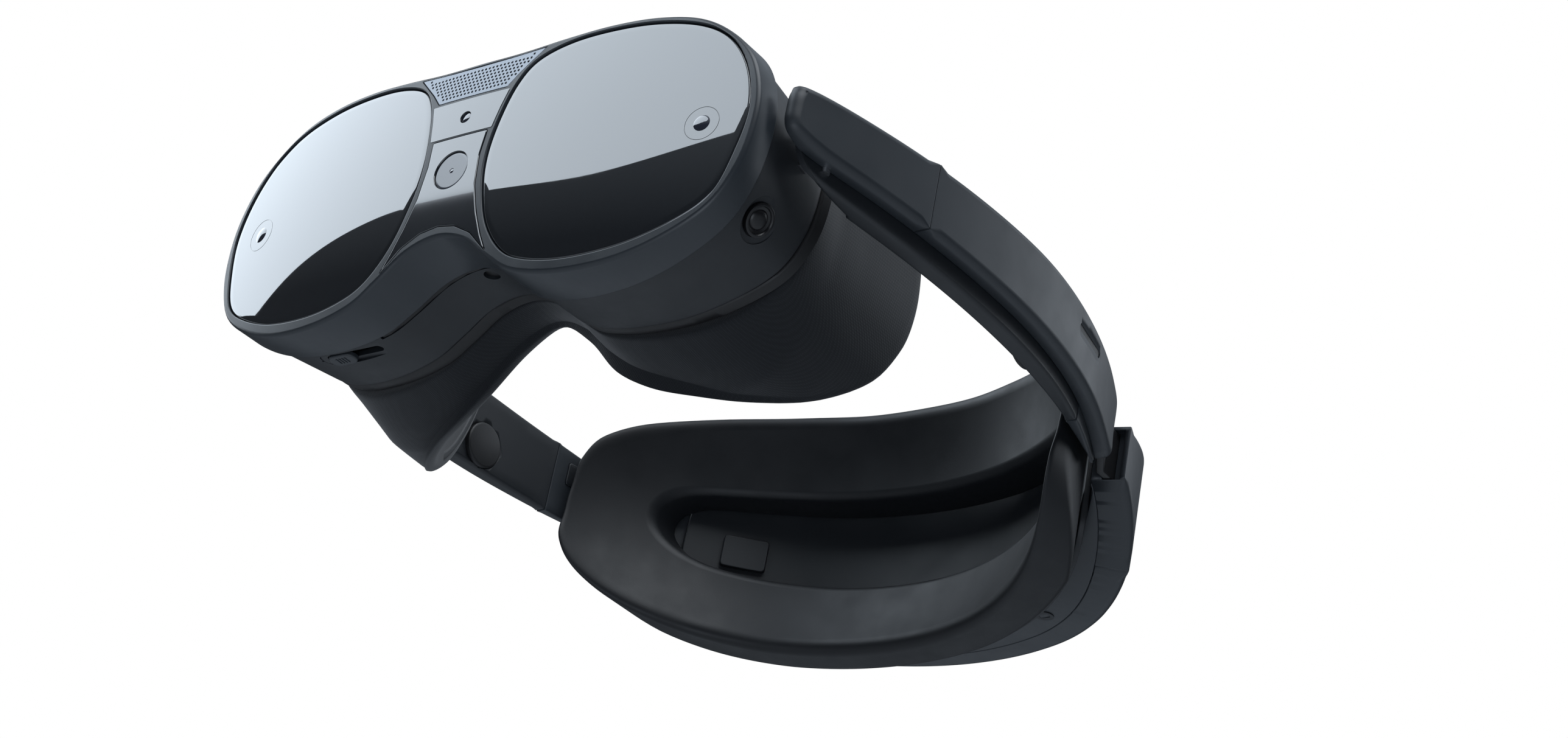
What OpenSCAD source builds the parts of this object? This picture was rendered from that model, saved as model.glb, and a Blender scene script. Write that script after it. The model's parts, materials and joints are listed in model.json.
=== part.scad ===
// Mixed-reality headset with a curved rear battery cradle.
// Millimetres, +Z up, +X is the wearer's left and -Y is the way the wearer looks.
// Each piece is drawn from the middle of the centre camera's face, then at_eyes()
// puts the origin midway between the eyepieces' rear faces, where the head locates.

/* [Visor] */
// Width over the front frame
visor_width = 184; // [178:1:190]
// Depth of the front frame, from the origin to its rear edge
frame_depth = 16; // [15:0.5:18]
// Wall thickness of the frame and body shell
shell_wall = 2.4; // [2:0.1:3]
// Radius of the domed front surface
dome_radius = 450; // [400:10:600]
// Thickness of the two glossy front panels
panel_thickness = 1.9; // [1.5:0.1:2.1]

/* [Optics] */
// Distance from the centre plane to each eyepiece at rest
eye_offset = 34; // [33:0.5:35]
// Height of the eyepieces above the origin
eye_height = 2; // [0:0.5:4]
// Outer radius of the eyepiece barrels
barrel_radius = 23; // [21:0.5:23]

/* [Arms] */
// Distance from the centre plane to the widest point of an arm
arm_reach = 109.3; // [108:0.1:111]
// Thickness of the outer cover of an arm
cover_thickness = 5; // [4:0.5:5]
// Distance from the origin at which the front cover ends
cover_seam = 64; // [60:1:70]

/* [Rear cradle] */
// Radius of the housing's back in plan
housing_radius = 93; // [92.5:0.1:94]
// Furthest point of the housing behind the origin
housing_rear = 259; // [258:0.5:260]
// Radius of the fit dial
dial_radius = 17; // [14:0.5:18]
// Teeth on the fit dial's pinion
pinion_teeth = 12; // [12:1:12]

/* [Hidden] */

$fn = 96;
sx = visor_width / 184;
gap = 0.1;
far = 400;

charcoal = [0.20, 0.21, 0.23];
dark = [0.13, 0.135, 0.15];
black = [0.05, 0.05, 0.055];
gloss = [0.62, 0.66, 0.71];
knit = [0.16, 0.165, 0.18];
metal = [0.55, 0.56, 0.58];
green = [0.05, 0.22, 0.13];

// ---- curves ----
function spline(a, b, c, d, t) = 0.5 * (2 * b + (c - a) * t + (2 * a - 5 * b + 4 * c - d) * t * t
    + (3 * b - a - 3 * c + d) * t * t * t);
function at(p, i) = p[(i + len(p)) % len(p)];
function smooth(p, n = 3) = [for (i = [0 : len(p) - 1]) for (j = [0 : n - 1])
    spline(at(p, i - 1), at(p, i), at(p, i + 1), at(p, i + 2), j / n)];
function both(p) = concat(p, [for (i = [len(p) - 1 : -1 : 0]) if (p[i][0] > 0.01) [-p[i][0], p[i][1]]]);
function unit(v) = v / norm(v);
function grow(p, d) = [for (i = [0 : len(p) - 1])
    let (t = unit(at(p, i + 1) - at(p, i - 1))) p[i] + d * [t[1], -t[0]]];
function mix(a, b, t) = [for (i = [0 : len(a) - 1]) a[i] * (1 - t) + b[i] * t];
function wide(p) = [for (q = p) [q[0] * sx, q[1]]];

// right half of each outline, from the nose up and round to the top, as [x, z]
frame_half = [[0, -20], [10, -22.5], [19, -29], [28, -34.4], [42, -36.8], [58, -35.8], [72, -31.2],
    [83.6, -23.6], [89.6, -13], [91.8, -1.5], [91.2, 9.5], [87, 20.2], [79, 28.5], [69, 34.2],
    [56, 36.8], [42, 37.1], [28, 36], [14, 34.7], [0, 34.6]];
gasket_half = [[0, -19], [13, -26], [24, -36.5], [34, -41.5], [44, -43], [56, -42.5], [67, -38],
    [74.5, -28], [77.5, -15], [78, -2], [77, 12], [75, 25], [69, 35.5], [59, 42.5], [47, 46],
    [34, 48], [23, 48.8], [11, 49], [0, 49]];
eye_half = [[0, -3], [11, -9], [21, -21], [34, -28.6], [46, -30.6], [57, -28.6], [65, -20.5],
    [68.5, -8], [68, 8], [62.5, 20.5], [53, 28.4], [40, 30.8], [26, 30.2], [12, 29.4], [0, 29]];
lens_loop = [[89.4, 3.5], [86.6, 15.8], [80, 25.8], [70.4, 31.7], [56.6, 34.8], [42, 35.3], [29.4, 34],
    [20, 30.4], [15.2, 24], [12.4, 14], [11.2, 3], [12.4, -7], [16.5, -19], [23.5, -27.8],
    [32, -31.7], [45, -33.2], [61, -31.4], [75, -26.3], [83.5, -20], [87.6, -9]];
panel_half = [[0, -16.8], [6, -17.7], [12, -20.8], [18.2, -26.9], [15.6, -22], [12.6, -15],
    [9.9, -6.6], [8.9, 3], [9.4, 10.4]];
grille_half = [[0, 23.6], [12, 23.6], [15.2, 27.4], [22, 34.2], [10, 33.4], [0, 33.2]];
housing_half = [[0, -25], [25, -25], [42, -25], [58, -23.8], [72, -20], [84, -12.5], [92, -4],
    [93.5, 6], [84, 12.5], [70, 18], [50, 24], [25, 27], [0, 27.5]];
pad_half = [[0, -42], [25, -41.8], [42, -41], [60, -38.5], [75, -34], [84, -27.5], [88.5, -19],
    [89.6, -9], [89.6, 1], [88.8, 11], [85, 21], [76, 29.5], [60, 36], [39, 39.5], [19, 40.5], [0, 41]];
slot_half = [[0, -16.5], [21, -16.3], [35, -15.6], [49, -14.5], [62, -12.3], [70, -8.5], [74.5, -3],
    [74.5, 3], [71, 8], [64, 10.8], [50, 12.6], [35, 13.3], [18, 13.7], [0, 13.8]];

frame_loop = wide(smooth(both(frame_half), 2));
gasket_loop = wide(smooth(both(gasket_half), 2));
eye_loop = smooth(both(eye_half), 2);
glass_loop = wide(smooth(lens_loop, 3));
pad_loop = smooth(both(pad_half), 2);
slot_loop = smooth(both(slot_half), 2);
housing_loop = smooth(both(housing_half), 2);

// ---- solids from outlines ----
// outline [x, z] between two depths
module xz(p, y0, y1) { translate([0, y1, 0]) rotate([90, 0, 0]) linear_extrude(y1 - y0) polygon(p); }
// outline [y, z] between two widths
module yz(p, x0, x1) { translate([x0, 0, 0]) rotate([90, 0, 90]) linear_extrude(x1 - x0) polygon(p); }
// plan outline [x, y] between two heights
module xy(p, z0, z1) { translate([0, 0, z0]) linear_extrude(z1 - z0) polygon(p); }
module box(a, b) { translate(a) cube(b - a); }
module rod_y(x, z, r, y0, y1) { translate([x, y1, z]) rotate([90, 0, 0]) cylinder(r = r, h = y1 - y0); }
module rod_z(x, y, r, z0, z1) { translate([x, y, z0]) cylinder(r = r, h = z1 - z0); }
module rod_x(y, z, r, x0, x1) { translate([x0, y, z]) rotate([0, 90, 0]) cylinder(r = r, h = x1 - x0); }
eye_plane = 32;
module at_eyes() { translate([0, -eye_plane, -eye_height]) children(); }
module flip(side) { if (side > 0) children(); else mirror([1, 0, 0]) children(); }
// everything behind the domed front surface moved back by d
module behind_dome(d) { translate([0, dome_radius + d, 0]) sphere(dome_radius, $fn = 180); }
// skin over rings of points, each ring an [x, z] outline at its own depth
module loft(rings, ys) {
    n = len(rings[0]);
    m = len(rings);
    pts = [for (k = [0 : m - 1]) for (q = rings[k]) [q[0], ys[k], q[1]]];
    sides = [for (k = [0 : m - 2]) for (i = [0 : n - 1]) for (s = [0, 1])
        let (a = k * n + i, b = k * n + (i + 1) % n)
        s == 0 ? [a, b, a + n] : [b, b + n, a + n]];
    polyhedron(pts, concat([[for (i = [n - 1 : -1 : 0]) i]], sides,
        [[for (i = [0 : n - 1]) (m - 1) * n + i]]));
}

// ---- visor body ----
body_front = frame_depth + gap;
body_back = 46;
back_radius = 357;
back_middle = 34;
function body_ring(y) = let (s = (y - body_front) / (body_back - body_front))
    [for (q = grow(frame_loop, -1.2)) [q[0] * (1 - 0.055 * s), q[1] * (1 - 0.06 * s)]];
// everything in front of the body's curved rear edge moved back by d
module before_back(d) {
    difference() {
        box([-120, -far / 4, -80], [120, 90, 80]);
        rod_z(0, back_middle + back_radius + d, back_radius, -81, 81);
    }
}

module front_frame() color(charcoal) difference() {
    intersection() { xz(frame_loop, -6, frame_depth); behind_dome(-1.2); }
    intersection() { xz(grow(frame_loop, -shell_wall), 0, frame_depth + 1); behind_dome(2.4); }
    for (s = [1, -1]) flip(s) {
        difference() { xz(grow(glass_loop, 0.15), -8, 14); behind_dome(panel_thickness - 0.35); }
        xz(grow(glass_loop, -2.2), -8, 15);
    }
    difference() { xz(grow(both(panel_half), 0.12), -4, 6); behind_dome(0.1); }
    difference() { xz(grow(both(grille_half), 0.12), -4, 6); behind_dome(0.4); }
    xz(grow(both(grille_half), -1.6), -4, 9);
    rod_y(0, 16.6, 1.75, -4, 8);
    rod_y(0, 0, 5.65, -4, 8);
}

module lens_panel(side) color(gloss) flip(side) difference() {
    intersection() { xz(glass_loop, -8, 16); behind_dome(-0.8); }
    behind_dome(panel_thickness - 0.4);
}

module bridge_panel() color(charcoal) difference() {
    intersection() { xz(both(panel_half), -4, 6); behind_dome(-1.35); }
    behind_dome(0.05);
    rod_y(0, 0, 5.65, -4, 8);
}

// plate with a square grid of small holes
grille_pitch = 2.4;
module vent_grille() color(metal) difference() {
    intersection() { xz(both(grille_half), -4, 6); behind_dome(-1.1); }
    behind_dome(0.35);
    for (i = [-7 : 7], j = [0 : 2]) let (x = i * grille_pitch, z = 25.4 + j * grille_pitch)
        if (abs(x) < 11 + (z - 24)) translate([x - 0.8, -4, z - 0.8]) cube([1.6, 10, 1.6]);
}

module depth_window() color(black) rod_y(0, 16.6, 1.7, -0.6, 2.2);

module rgb_camera() color(gloss) union() {
    rod_y(0, 0, 5.6, -1, 6);
    rod_y(0, 0, 3.4, 5.9, 8);
}

camera_x = 77;
module front_camera(side) color(black) flip(side) {
    rod_y(camera_x * sx, 0.6, 5.5, 9.6, 12.9);
}

chassis_y = 13;
module chassis() color(metal) difference() {
    xz(grow(frame_loop, -shell_wall - 0.2), chassis_y, chassis_y + 1.6);
    for (x = [-62, -40, 40, 62], z = [-6, 26]) rod_y(x, z, 1.6, 10, 18);
}

fan_z = 19;
module mainboard() color(green) difference() {
    box([-68, 11.3, -12], [68, chassis_y - gap, 30]);
    rod_y(0, fan_z, 13.6, 8, 16);
    rod_y(0, 0, 5, 8, 16);
}
module fan_housing() color(dark) {
    difference() {
        rod_y(0, fan_z, 13, 4.2, chassis_y - gap);
        rod_y(0, fan_z, 12, 3, 11.4);
    }
    rod_y(0, fan_z, 1.2, 5.4, 11.5);
}
module fan_rotor() color(black) difference() {
    union() {
        rod_y(0, fan_z, 4.2, 5.6, 10.8);
        for (k = [0 : 8]) translate([0, 0, fan_z]) rotate([0, k * 40, 0])
            translate([3.5, 6, -0.5]) cube([7.8, 4.4, 1]);
    }
    rod_y(0, fan_z, 1.25, 3, 12);
}

ipd_x = -44;
pin_z = 34.3;
ipd_y = 21;
module body_shell() color(dark) {
    rod_y(ipd_x, pin_z, 0.75, 21.6, 26.4);
    body_walls();
}
module body_walls() difference() {
    union() {
        difference() {
            union() {
                xz(grow(frame_loop, -shell_wall - 0.2), chassis_y + 1.7, body_front + 0.1);
                loft([for (y = [body_front, 30, body_back]) body_ring(y)], [body_front, 30, body_back]);
            }
            difference() {
                loft([for (y = [body_front - 4, 30, body_back + 4]) grow(body_ring(y), -shell_wall)],
                    [body_front - 4, 30, body_back + 4]);
                rod_z(0, back_middle + back_radius - 1.6, back_radius, -81, 81);
            }
        }
        intersection() {
            box([ipd_x - 15, 17.4, -36], [ipd_x + 15, 25, -31.8]);
            loft([for (y = [body_front, 30, body_back]) grow(body_ring(y), -1)], [body_front, 30, body_back]);
        }
    }
    rod_z(0, back_middle + back_radius, back_radius, -81, 81);
    xz(eye_loop, 28, 60);
    // groove under the brow of the nose arch
    intersection() {
        difference() {
            xz(grow(frame_loop, 1), body_front - 0.2, body_front + 2);
            xz(grow(frame_loop, -shell_wall + 0.2), body_front - 1, body_front + 3);
        }
        box([-31, 10, -40], [31, 30, -15]);
    }
    rod_z(0, 21.5, 2.25, -30, -10);
    // recess and slot for the eyepiece slider
    box([ipd_x - 11, ipd_y - 2.8, -40], [ipd_x + 11, ipd_y + 2.8, -34.4]);
    box([ipd_x - 8.8, ipd_y - 1.2, -40], [ipd_x + 8.8, ipd_y + 1.2, -30]);
    for (s = [1, -1]) flip(s) {
        side_camera_bore(4.6);
        box([84, hinge_y - 2.1, 0.9], [100, hinge_y + 2.1, 10.1]);
    }
    // top buttons
    box([44 - 6.2, 24 - 2.2, 30], [44 + 6.2, 24 + 2.2, 50]);
    box([-44 - 11.2, 24 - 2.2, 30], [-44 + 11.2, 24 + 2.2, 50]);
}

module nose_vent() color(black) intersection() {
    difference() {
        xz(grow(frame_loop, -shell_wall + 0.9), body_front, body_front + 1.9);
        xz(grow(frame_loop, -shell_wall + 0.25), body_front - 1, body_front + 3);
    }
    box([-30.8, 10, -40], [30.8, 30, -15]);
}
module microphone() color(black) rod_z(0, 21.5, 2.2, -17.7, -15.8);

// side camera: its axis leans out and down
side_lean = 122;
module side_axis() { translate([84.2 * sx, 25.5, -17.4]) rotate([0, side_lean, 0]) children(); }
module side_camera_bore(r) { side_axis() translate([0, 0, -8]) cylinder(r = r, h = 16); }
module side_camera(side) color(black) flip(side) side_axis() {
    translate([0, 0, -6]) cylinder(r = 4.5, h = 6.8);
    translate([0, 0, 0.7]) cylinder(r = 3.4, h = 0.7);
}

rail_z = 27;
rail_y = [19.6, 26];
rail_end = 57;
bulkhead_y = 28.4;
slide_in = 5.25;
slide_out = 1.25;
module barrel_slot(r) {
    for (x = [eye_offset - slide_in, eye_offset + slide_out])
        rod_y(x, eye_height, r, bulkhead_y - 2, bulkhead_y + 4);
    box([eye_offset - slide_in, bulkhead_y - 2, eye_height - r],
        [eye_offset + slide_out, bulkhead_y + 4, eye_height + r]);
}
module bulkhead() color(black) difference() {
    union() {
        xz(grow(body_ring(bulkhead_y + 1.6), -shell_wall - 0.25), bulkhead_y, bulkhead_y + 1.6);
        for (s = [1, -1]) flip(s)
            box([rail_end, rail_y[0] - 2.6, 24], [rail_end + 3, bulkhead_y + 0.1, 29.2]);
    }
    for (s = [1, -1]) flip(s) { barrel_slot(barrel_radius + 0.3); side_camera_bore(4.8); }
    for (y = rail_y) rod_x(y, rail_z, 1.52, -80, 80);
}
module ipd_rails() color(metal) for (y = rail_y) rod_x(y, rail_z, 1.5, -rail_end - 3, rail_end + 3);

slider_rest = -4;
module ipd_slider() color(charcoal) translate([ipd_x + slider_rest, ipd_y, 0]) union() {
    box([-4.4, -2.5, -35.9], [4.4, 2.5, -34.5]);
    box([-2, -1.1, -34.6], [2, 1.1, -30.9]);
    box([-4, -2.2, -31.6], [4, 2.2, -30.4]);
}

module carrier(side) color(dark) flip(side) difference() {
    union() {
        rod_y(eye_offset, eye_height, barrel_radius, 16.6, 30);
        box([eye_offset - 6, rail_y[0] - 2.4, 22], [eye_offset + 6, rail_y[1] + 2.2, 29.4]);
    }
    rod_y(eye_offset, eye_height, barrel_radius - 2, 18.2, 31);
    for (y = rail_y) rod_x(y, rail_z, 1.56, 0, 80);
}
module display(side) color(gloss) flip(side)
    box([eye_offset - 14, 18.3, eye_height - 14], [eye_offset + 14, 20.3, eye_height + 14]);
module eyepiece(side) color(gloss) flip(side) intersection() {
    rod_y(eye_offset, eye_height, 19.8, 23, 33);
    translate([eye_offset, 23.6 + 60, eye_height]) sphere(60, $fn = 300);
    translate([eye_offset, 31.9 - 60, eye_height]) sphere(60, $fn = 300);
}
module diopter_ring(side) color(black) flip(side) difference() {
    union() {
        rod_y(eye_offset, eye_height, barrel_radius - 2.06, 25, 30.2);
        rod_y(eye_offset, eye_height, barrel_radius - 0.4, 30.1, 32.2);
    }
    rod_y(eye_offset, eye_height, 19.85, 24, 31.4);
    rod_y(eye_offset, eye_height, 18.6, 31, 34);
    for (k = [0 : 23]) translate([eye_offset, 0, eye_height]) rotate([0, k * 15, 0])
        translate([barrel_radius - 0.4, 34, 0]) rotate([90, 0, 0]) cylinder(r = 0.6, h = 2.6, $fn = 24);
}

module power_button() color(charcoal) box([38, 22, 32.6], [50, 26, 36.2]);
module volume_rocker() color(charcoal) difference() {
    box([-55, 22, 32.6], [-33, 26, 36.2]);
    rod_y(-44, pin_z, 0.8, 20, 28);
}

// ---- face gasket ----
gasket_gap = 0.15;
module gasket_frame() color(black) difference() {
    loft([for (y = [32, 54]) grow(body_ring(y < 46 ? y : 46), -0.4)], [32, 54]);
    translate([0, gasket_gap, 0]) before_back(0);
    rod_z(0, back_middle + back_radius + 4, back_radius, -81, 81);
    xz(eye_loop, 28, 60);
    for (s = [1, -1], z = [-12, 10]) rod_y(s * 77, z, 3.05, 38, 45.2);
}
module gasket_magnets() color(metal)
    for (s = [1, -1], z = [-12, 10]) rod_y(s * 77, z, 3, 43.2, 45.1);

face_radius = 88;
face_middle = 57;
face_lean = 10;
cushion_ys = [33, 46, 62, 108];
module gasket_cushion() color(knit) difference() {
    loft([grow(body_ring(36), -1.2), mix(grow(body_ring(44), -1), gasket_loop, 0.35),
        mix(grow(body_ring(46), 0), gasket_loop, 0.85), gasket_loop], cushion_ys);
    before_back(4.1);
    translate([0, face_middle + face_radius, 0]) rotate([-face_lean, 0, 0])
        translate([0, 0, -120]) cylinder(r = face_radius, h = 240);
    xz(eye_loop, 20, 120);
}

// ---- arms ----
// an arm's plan follows a long arc in front of arc_y and a tighter one behind it
arc_y = 105;
front_arc = 308;
rear_arc = 170;
rear_inner_arc = 252;
arm_thickness = 11;
body_clear = 93.2;
// plan region outside the arm's surface moved in by d, between two depths
module arm_side(d, y0, y1, r_rear) {
    if (y0 < arc_y) intersection() {
        translate([arm_reach - front_arc, arc_y]) circle(front_arc - d, $fn = 300);
        translate([0, y0]) square([200, min(y1, arc_y) - y0]);
    }
    if (y1 > arc_y) let (start = max(y0, arc_y - 0.02)) intersection() {
        translate([arm_reach - d - r_rear, arc_y]) circle(r_rear, $fn = 300);
        translate([0, start]) square([200, y1 - start]);
    }
}
module arm_band(outer, inner, y0, y1, z0, z1) {
    translate([0, 0, z0]) linear_extrude(z1 - z0) difference() {
        arm_side(outer, y0, y1, rear_arc - outer);
        arm_side(inner, y0 - 1, y1 + 1, inner >= arm_thickness ? rear_inner_arc : rear_arc - inner);
        square([2 * body_clear, 94], center = true);
    }
}
cover_side = smooth([[16.8, 8], [17.4, 13], [21, 15.6], [45, 16.6], [80, 17.4], [115, 17.2],
    [150, 14.6], [168, 12], [176.4, 9], [177, 0], [176.6, -7.4], [150, -5], [115, -3.6],
    [80, -2.6], [50, -1.6], [30, -0.6], [20, 1.6], [17.2, 4]], 3);
core_side = smooth([[24, 7], [26, 13], [34, 15.4], [60, 16.4], [90, 17], [120, 16.6], [150, 14],
    [168, 11.4], [176, 8.6], [177, 0], [176.4, -8.6], [168, -10], [140, -9], [110, -8.4],
    [70, -7.2], [45, -6], [30, -4], [25, 0]], 3);

hinge_x = 95.6;
hinge_y = 33;
hinge_low = -0.1;
hinge_high = 11.1;
module hinge(side) color(metal) flip(side) {
    rod_z(hinge_x, hinge_y, 2.6, 0, 11);
    rod_z(hinge_x, hinge_y, 1.3, -2, 13);
    box([86.6, hinge_y - 2, 1], [hinge_x, hinge_y + 2, 10]);
}
module hinge_space() {
    rod_z(hinge_x, hinge_y, 2.75, hinge_low, hinge_high);
    rod_z(hinge_x, hinge_y, 1.35, -2.1, 13.1);
    box([90, hinge_y - 2.75, hinge_low], [hinge_x, hinge_y + 2.75, hinge_high]);
}

core_end = 152;
speaker_y = 96;
cap_y = 124;
module temple(side) color(charcoal) flip(side) difference() {
    intersection() {
        arm_band(cover_thickness + gap, arm_thickness, 24, core_end, -20, 30);
        yz(core_side, 80, 120);
    }
    hinge_space();
    rod_x(speaker_y, 4, 5.1, 90, 100.4);
    rod_x(cap_y, -1, 7.1, 90, 98.6);
}
module temple_cover(side) color(charcoal) flip(side) difference() {
    intersection() {
        arm_band(0, cover_thickness, 16, cover_seam, -20, 30);
        yz(cover_side, 80, 120);
    }
    hinge_space();
}
module speaker(side) color(black) flip(side) {
    rod_x(speaker_y, 4, 5, 97.2, 100.3);
    rod_x(cap_y, -1, 7, 96.4, 98.5);
}

strap_plan = [[93.2, 169.5], [91.2, 176.5], [85.7, 185.6], [85.6, 195.6], [83.4, 195.6],
    [83.4, 184.9], [89, 175.6], [91, 169]];
strap_low = -7;
strap_high = 8;
// a flat spot on the arm where a button or slot is set square to the surface
module button_place() { translate([92, 162, 5.4]) rotate([0, 0, 12.7]) children(); }
module slot_place() { translate([105.2, 142.5, 8.6]) rotate([0, 0, 12.3]) children(); }
module cradle_arm(side) color(charcoal) flip(side) difference() {
    union() {
        intersection() {
            arm_band(0, cover_thickness, cover_seam + 0.2, 177, -20, 30);
            yz(cover_side, 80, 120);
        }
        intersection() {
            arm_band(cover_thickness - 0.1, arm_thickness, core_end + 0.2, 177, -20, 30);
            yz(core_side, 80, 120);
        }
    }
    xy(grow(strap_plan, 0.08), strap_low - 0.08, strap_high + 0.08);
    button_place() box([-8, -5.15, -3.85], [3.6, 5.15, 3.85]);
    slot_place() {
        for (y = [-7, 7]) rod_x(y, 0, 1.3, -1.2, 8);
        box([-1.2, -7, -1.3], [8, 7, 1.3]);
    }
}
module release_button(side) color(dark) flip(side)
    button_place() box([-0.7, -5, -3.7], [2.2, 5, 3.7]);
module strap(side) color(black) flip(side) xy(strap_plan, strap_low, strap_high);

// ---- rear cradle ----
housing_mid = housing_rear - housing_radius;
pad_mid = 137;
pad_back = 92.9;
carrier_in = 93.4;
carrier_out = 95.4;
housing_in = 95.6;
seam_radius = 83;
ear_x = 74;
ear_front = 190;
cut = 2.2;
module disc(y, r, z0 = -60, z1 = 50) { rod_z(0, y, r, z0, z1); }
module housing_block(grow_by) {
    difference() {
        intersection() {
            disc(housing_mid, housing_radius + grow_by);
            xz(grow(housing_loop, grow_by), ear_front - grow_by, housing_rear + 5);
        }
        disc(pad_mid, housing_in - grow_by);
    }
}
module cover_zone(d) {
    difference() {
        box([-ear_x + d, 195, -60], [ear_x - d, 270, 50]);
        disc(housing_mid, seam_radius + d);
    }
}
dial_z = 2;
module battery_housing() color(charcoal) difference() {
    housing_block(0);
    cover_zone(0);
    // cell space, closed at the front and open to the cover
    intersection() {
        housing_block(-cut);
        box([-62, 190, -60], [62, 270, 50]);
    }
    // pockets that the straps run in
    for (s = [1, -1]) flip(s)
        box([83.2, ear_front - 2, strap_low - 0.2], [85.8, 199.8, strap_high + 0.2]);
    rod_z(40, 232, 3, -60, -20);
}
module battery_cover() color(charcoal) difference() {
    union() {
        difference() {
            intersection() { housing_block(0); cover_zone(gap); }
            intersection() { housing_block(-cut); box([-70, 190, -60], [70, 270, 50]); }
        }
        rod_y(0, dial_z, dial_radius + 2.4, housing_rear - 7, housing_rear - 1.6);
        for (s = [1, -1]) translate([0, 0, dial_z]) rotate([0, s > 0 ? 0 : 180, 0])
            box([-10, gear_y - 0.4, pitch + 4.7], [10, housing_rear - 6.8, pitch + 6.2]);
    }
    rod_y(0, dial_z, 4.08, 240, 270);
    rod_y(0, dial_z, dial_radius + 0.4, housing_rear - 3.6, 270);
}
module battery_pack() color(dark) intersection() {
    difference() { disc(housing_mid, seam_radius - 1.4, -21.6, -9); disc(pad_mid, housing_in + 2.4, -33, 0); }
    xz(grow(housing_loop, -3), 190, 270);
    box([-58, 190, -40], [58, 270, 0]);
}
module carrier_zone(r0, r1, p, y0) {
    difference() {
        intersection() { disc(pad_mid, r1); xz(p, y0, 260); }
        disc(pad_mid, r0);
    }
}
module pad_carrier() color(dark) difference() {
    carrier_zone(carrier_in, carrier_out, [for (q = grow(pad_loop, -9)) [q[0] * 0.93, q[1]]], 190);
}
module pad_tabs() color(dark) for (s = [1, -1]) flip(s)
    difference() {
        intersection() { disc(pad_mid, pad_back + 0.4); box([54, 150, -8], [65, 230, 2.6]); }
        disc(pad_mid, pad_back - 1.2);
    }
head_radius = 96;
head_mid = 120;
head_high = 0;
module rear_pad() color(dark) difference() {
    intersection() {
        disc(pad_mid, pad_back);
        xz(pad_loop, 150, 240);
        translate([0, head_mid, head_high]) sphere(pad_mid + pad_back - head_mid, $fn = 180);
    }
    translate([0, head_mid, head_high]) sphere(head_radius, $fn = 180);
    xz(slot_loop, 150, 250);
}

pinion_module = 1;
pitch = pinion_teeth * pinion_module / 2;
rack_step = PI * pinion_module;
gear_y = housing_rear - 9;
gear_w = 1.9;
module tooth(w0, w1, r0, r1) { polygon([[-w0, r0], [w0, r0], [w1, r1], [-w1, r1]]); }
module fit_dial() color(charcoal) {
    difference() {
        rod_y(0, dial_z, dial_radius, housing_rear - 3.2, housing_rear + 3);
        for (k = [0 : 35]) translate([0, 0, dial_z]) rotate([0, k * 10, 0])
            translate([dial_radius + 0.5, housing_rear + 4, 0]) rotate([90, 0, 0])
                cylinder(r = 0.95, h = 6, $fn = 24);
        rod_y(0, dial_z, dial_radius - 4, housing_rear + 2.2, 270);
    }
    rod_y(0, dial_z, 4, gear_y + gear_w - 0.1, housing_rear - 3.1);
    translate([0, gear_y + gear_w, dial_z]) rotate([90, 0, 0]) linear_extrude(gear_w) union() {
        circle(pitch - 1.15);
        for (k = [0 : pinion_teeth - 1]) rotate(k * 360 / pinion_teeth)
            tooth(0.95, 0.34, pitch - 1.4, pitch + 0.9);
    }
}
// side +1 lies above the pinion and runs to +X, -1 below it and to -X
module rack(side) color(metal) translate([0, gear_y + gear_w, dial_z])
    rotate([0, side > 0 ? 0 : 180, 0]) rotate([90, 0, 0]) linear_extrude(gear_w) union() {
    translate([-9, pitch + 1.2]) square([33.4, 3.4]);
    for (k = [-2 : 7]) translate([(k + 0.5) * rack_step, 0])
        tooth(0.34, 0.98, pitch - 0.85, pitch + 1.3);
}
module usb_port() color(metal) difference() {
    rod_z(40, 232, 2.9, -24.9, -22.1);
    box([38.4, 231, -40], [41.6, 233, -22.7]);
}

at_eyes() front_frame();
at_eyes() lens_panel(1);  // lens_panel_left
at_eyes() lens_panel(-1);  // lens_panel_right
at_eyes() bridge_panel();
at_eyes() vent_grille();
at_eyes() depth_window();
at_eyes() rgb_camera();
at_eyes() front_camera(1);  // front_camera_left
at_eyes() front_camera(-1);  // front_camera_right
at_eyes() chassis();
at_eyes() mainboard();
at_eyes() fan_housing();
at_eyes() fan_rotor();
at_eyes() body_shell();
at_eyes() nose_vent();
at_eyes() microphone();
at_eyes() side_camera(1);  // side_camera_left
at_eyes() side_camera(-1);  // side_camera_right
at_eyes() bulkhead();
at_eyes() ipd_rails();
at_eyes() ipd_slider();
at_eyes() carrier(1);  // carrier_left
at_eyes() carrier(-1);  // carrier_right
at_eyes() display(1);  // display_left
at_eyes() display(-1);  // display_right
at_eyes() eyepiece(1);  // eyepiece_left
at_eyes() eyepiece(-1);  // eyepiece_right
at_eyes() diopter_ring(1);  // diopter_ring_left
at_eyes() diopter_ring(-1);  // diopter_ring_right
at_eyes() power_button();
at_eyes() volume_rocker();
at_eyes() gasket_frame();
at_eyes() gasket_cushion();
at_eyes() gasket_magnets();
at_eyes() hinge(1);  // hinge_left
at_eyes() hinge(-1);  // hinge_right
at_eyes() temple(1);  // temple_left
at_eyes() temple(-1);  // temple_right
at_eyes() temple_cover(1);  // temple_cover_left
at_eyes() temple_cover(-1);  // temple_cover_right
at_eyes() speaker(1);  // speaker_left
at_eyes() speaker(-1);  // speaker_right
at_eyes() cradle_arm(1);  // cradle_arm_left
at_eyes() cradle_arm(-1);  // cradle_arm_right
at_eyes() release_button(1);  // release_button_left
at_eyes() release_button(-1);  // release_button_right
at_eyes() strap(1);  // strap_left
at_eyes() strap(-1);  // strap_right
at_eyes() battery_housing();
at_eyes() battery_cover();
at_eyes() battery_pack();
at_eyes() pad_carrier();
at_eyes() pad_tabs();
at_eyes() rear_pad();
at_eyes() rack(1);  // rack_left
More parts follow.
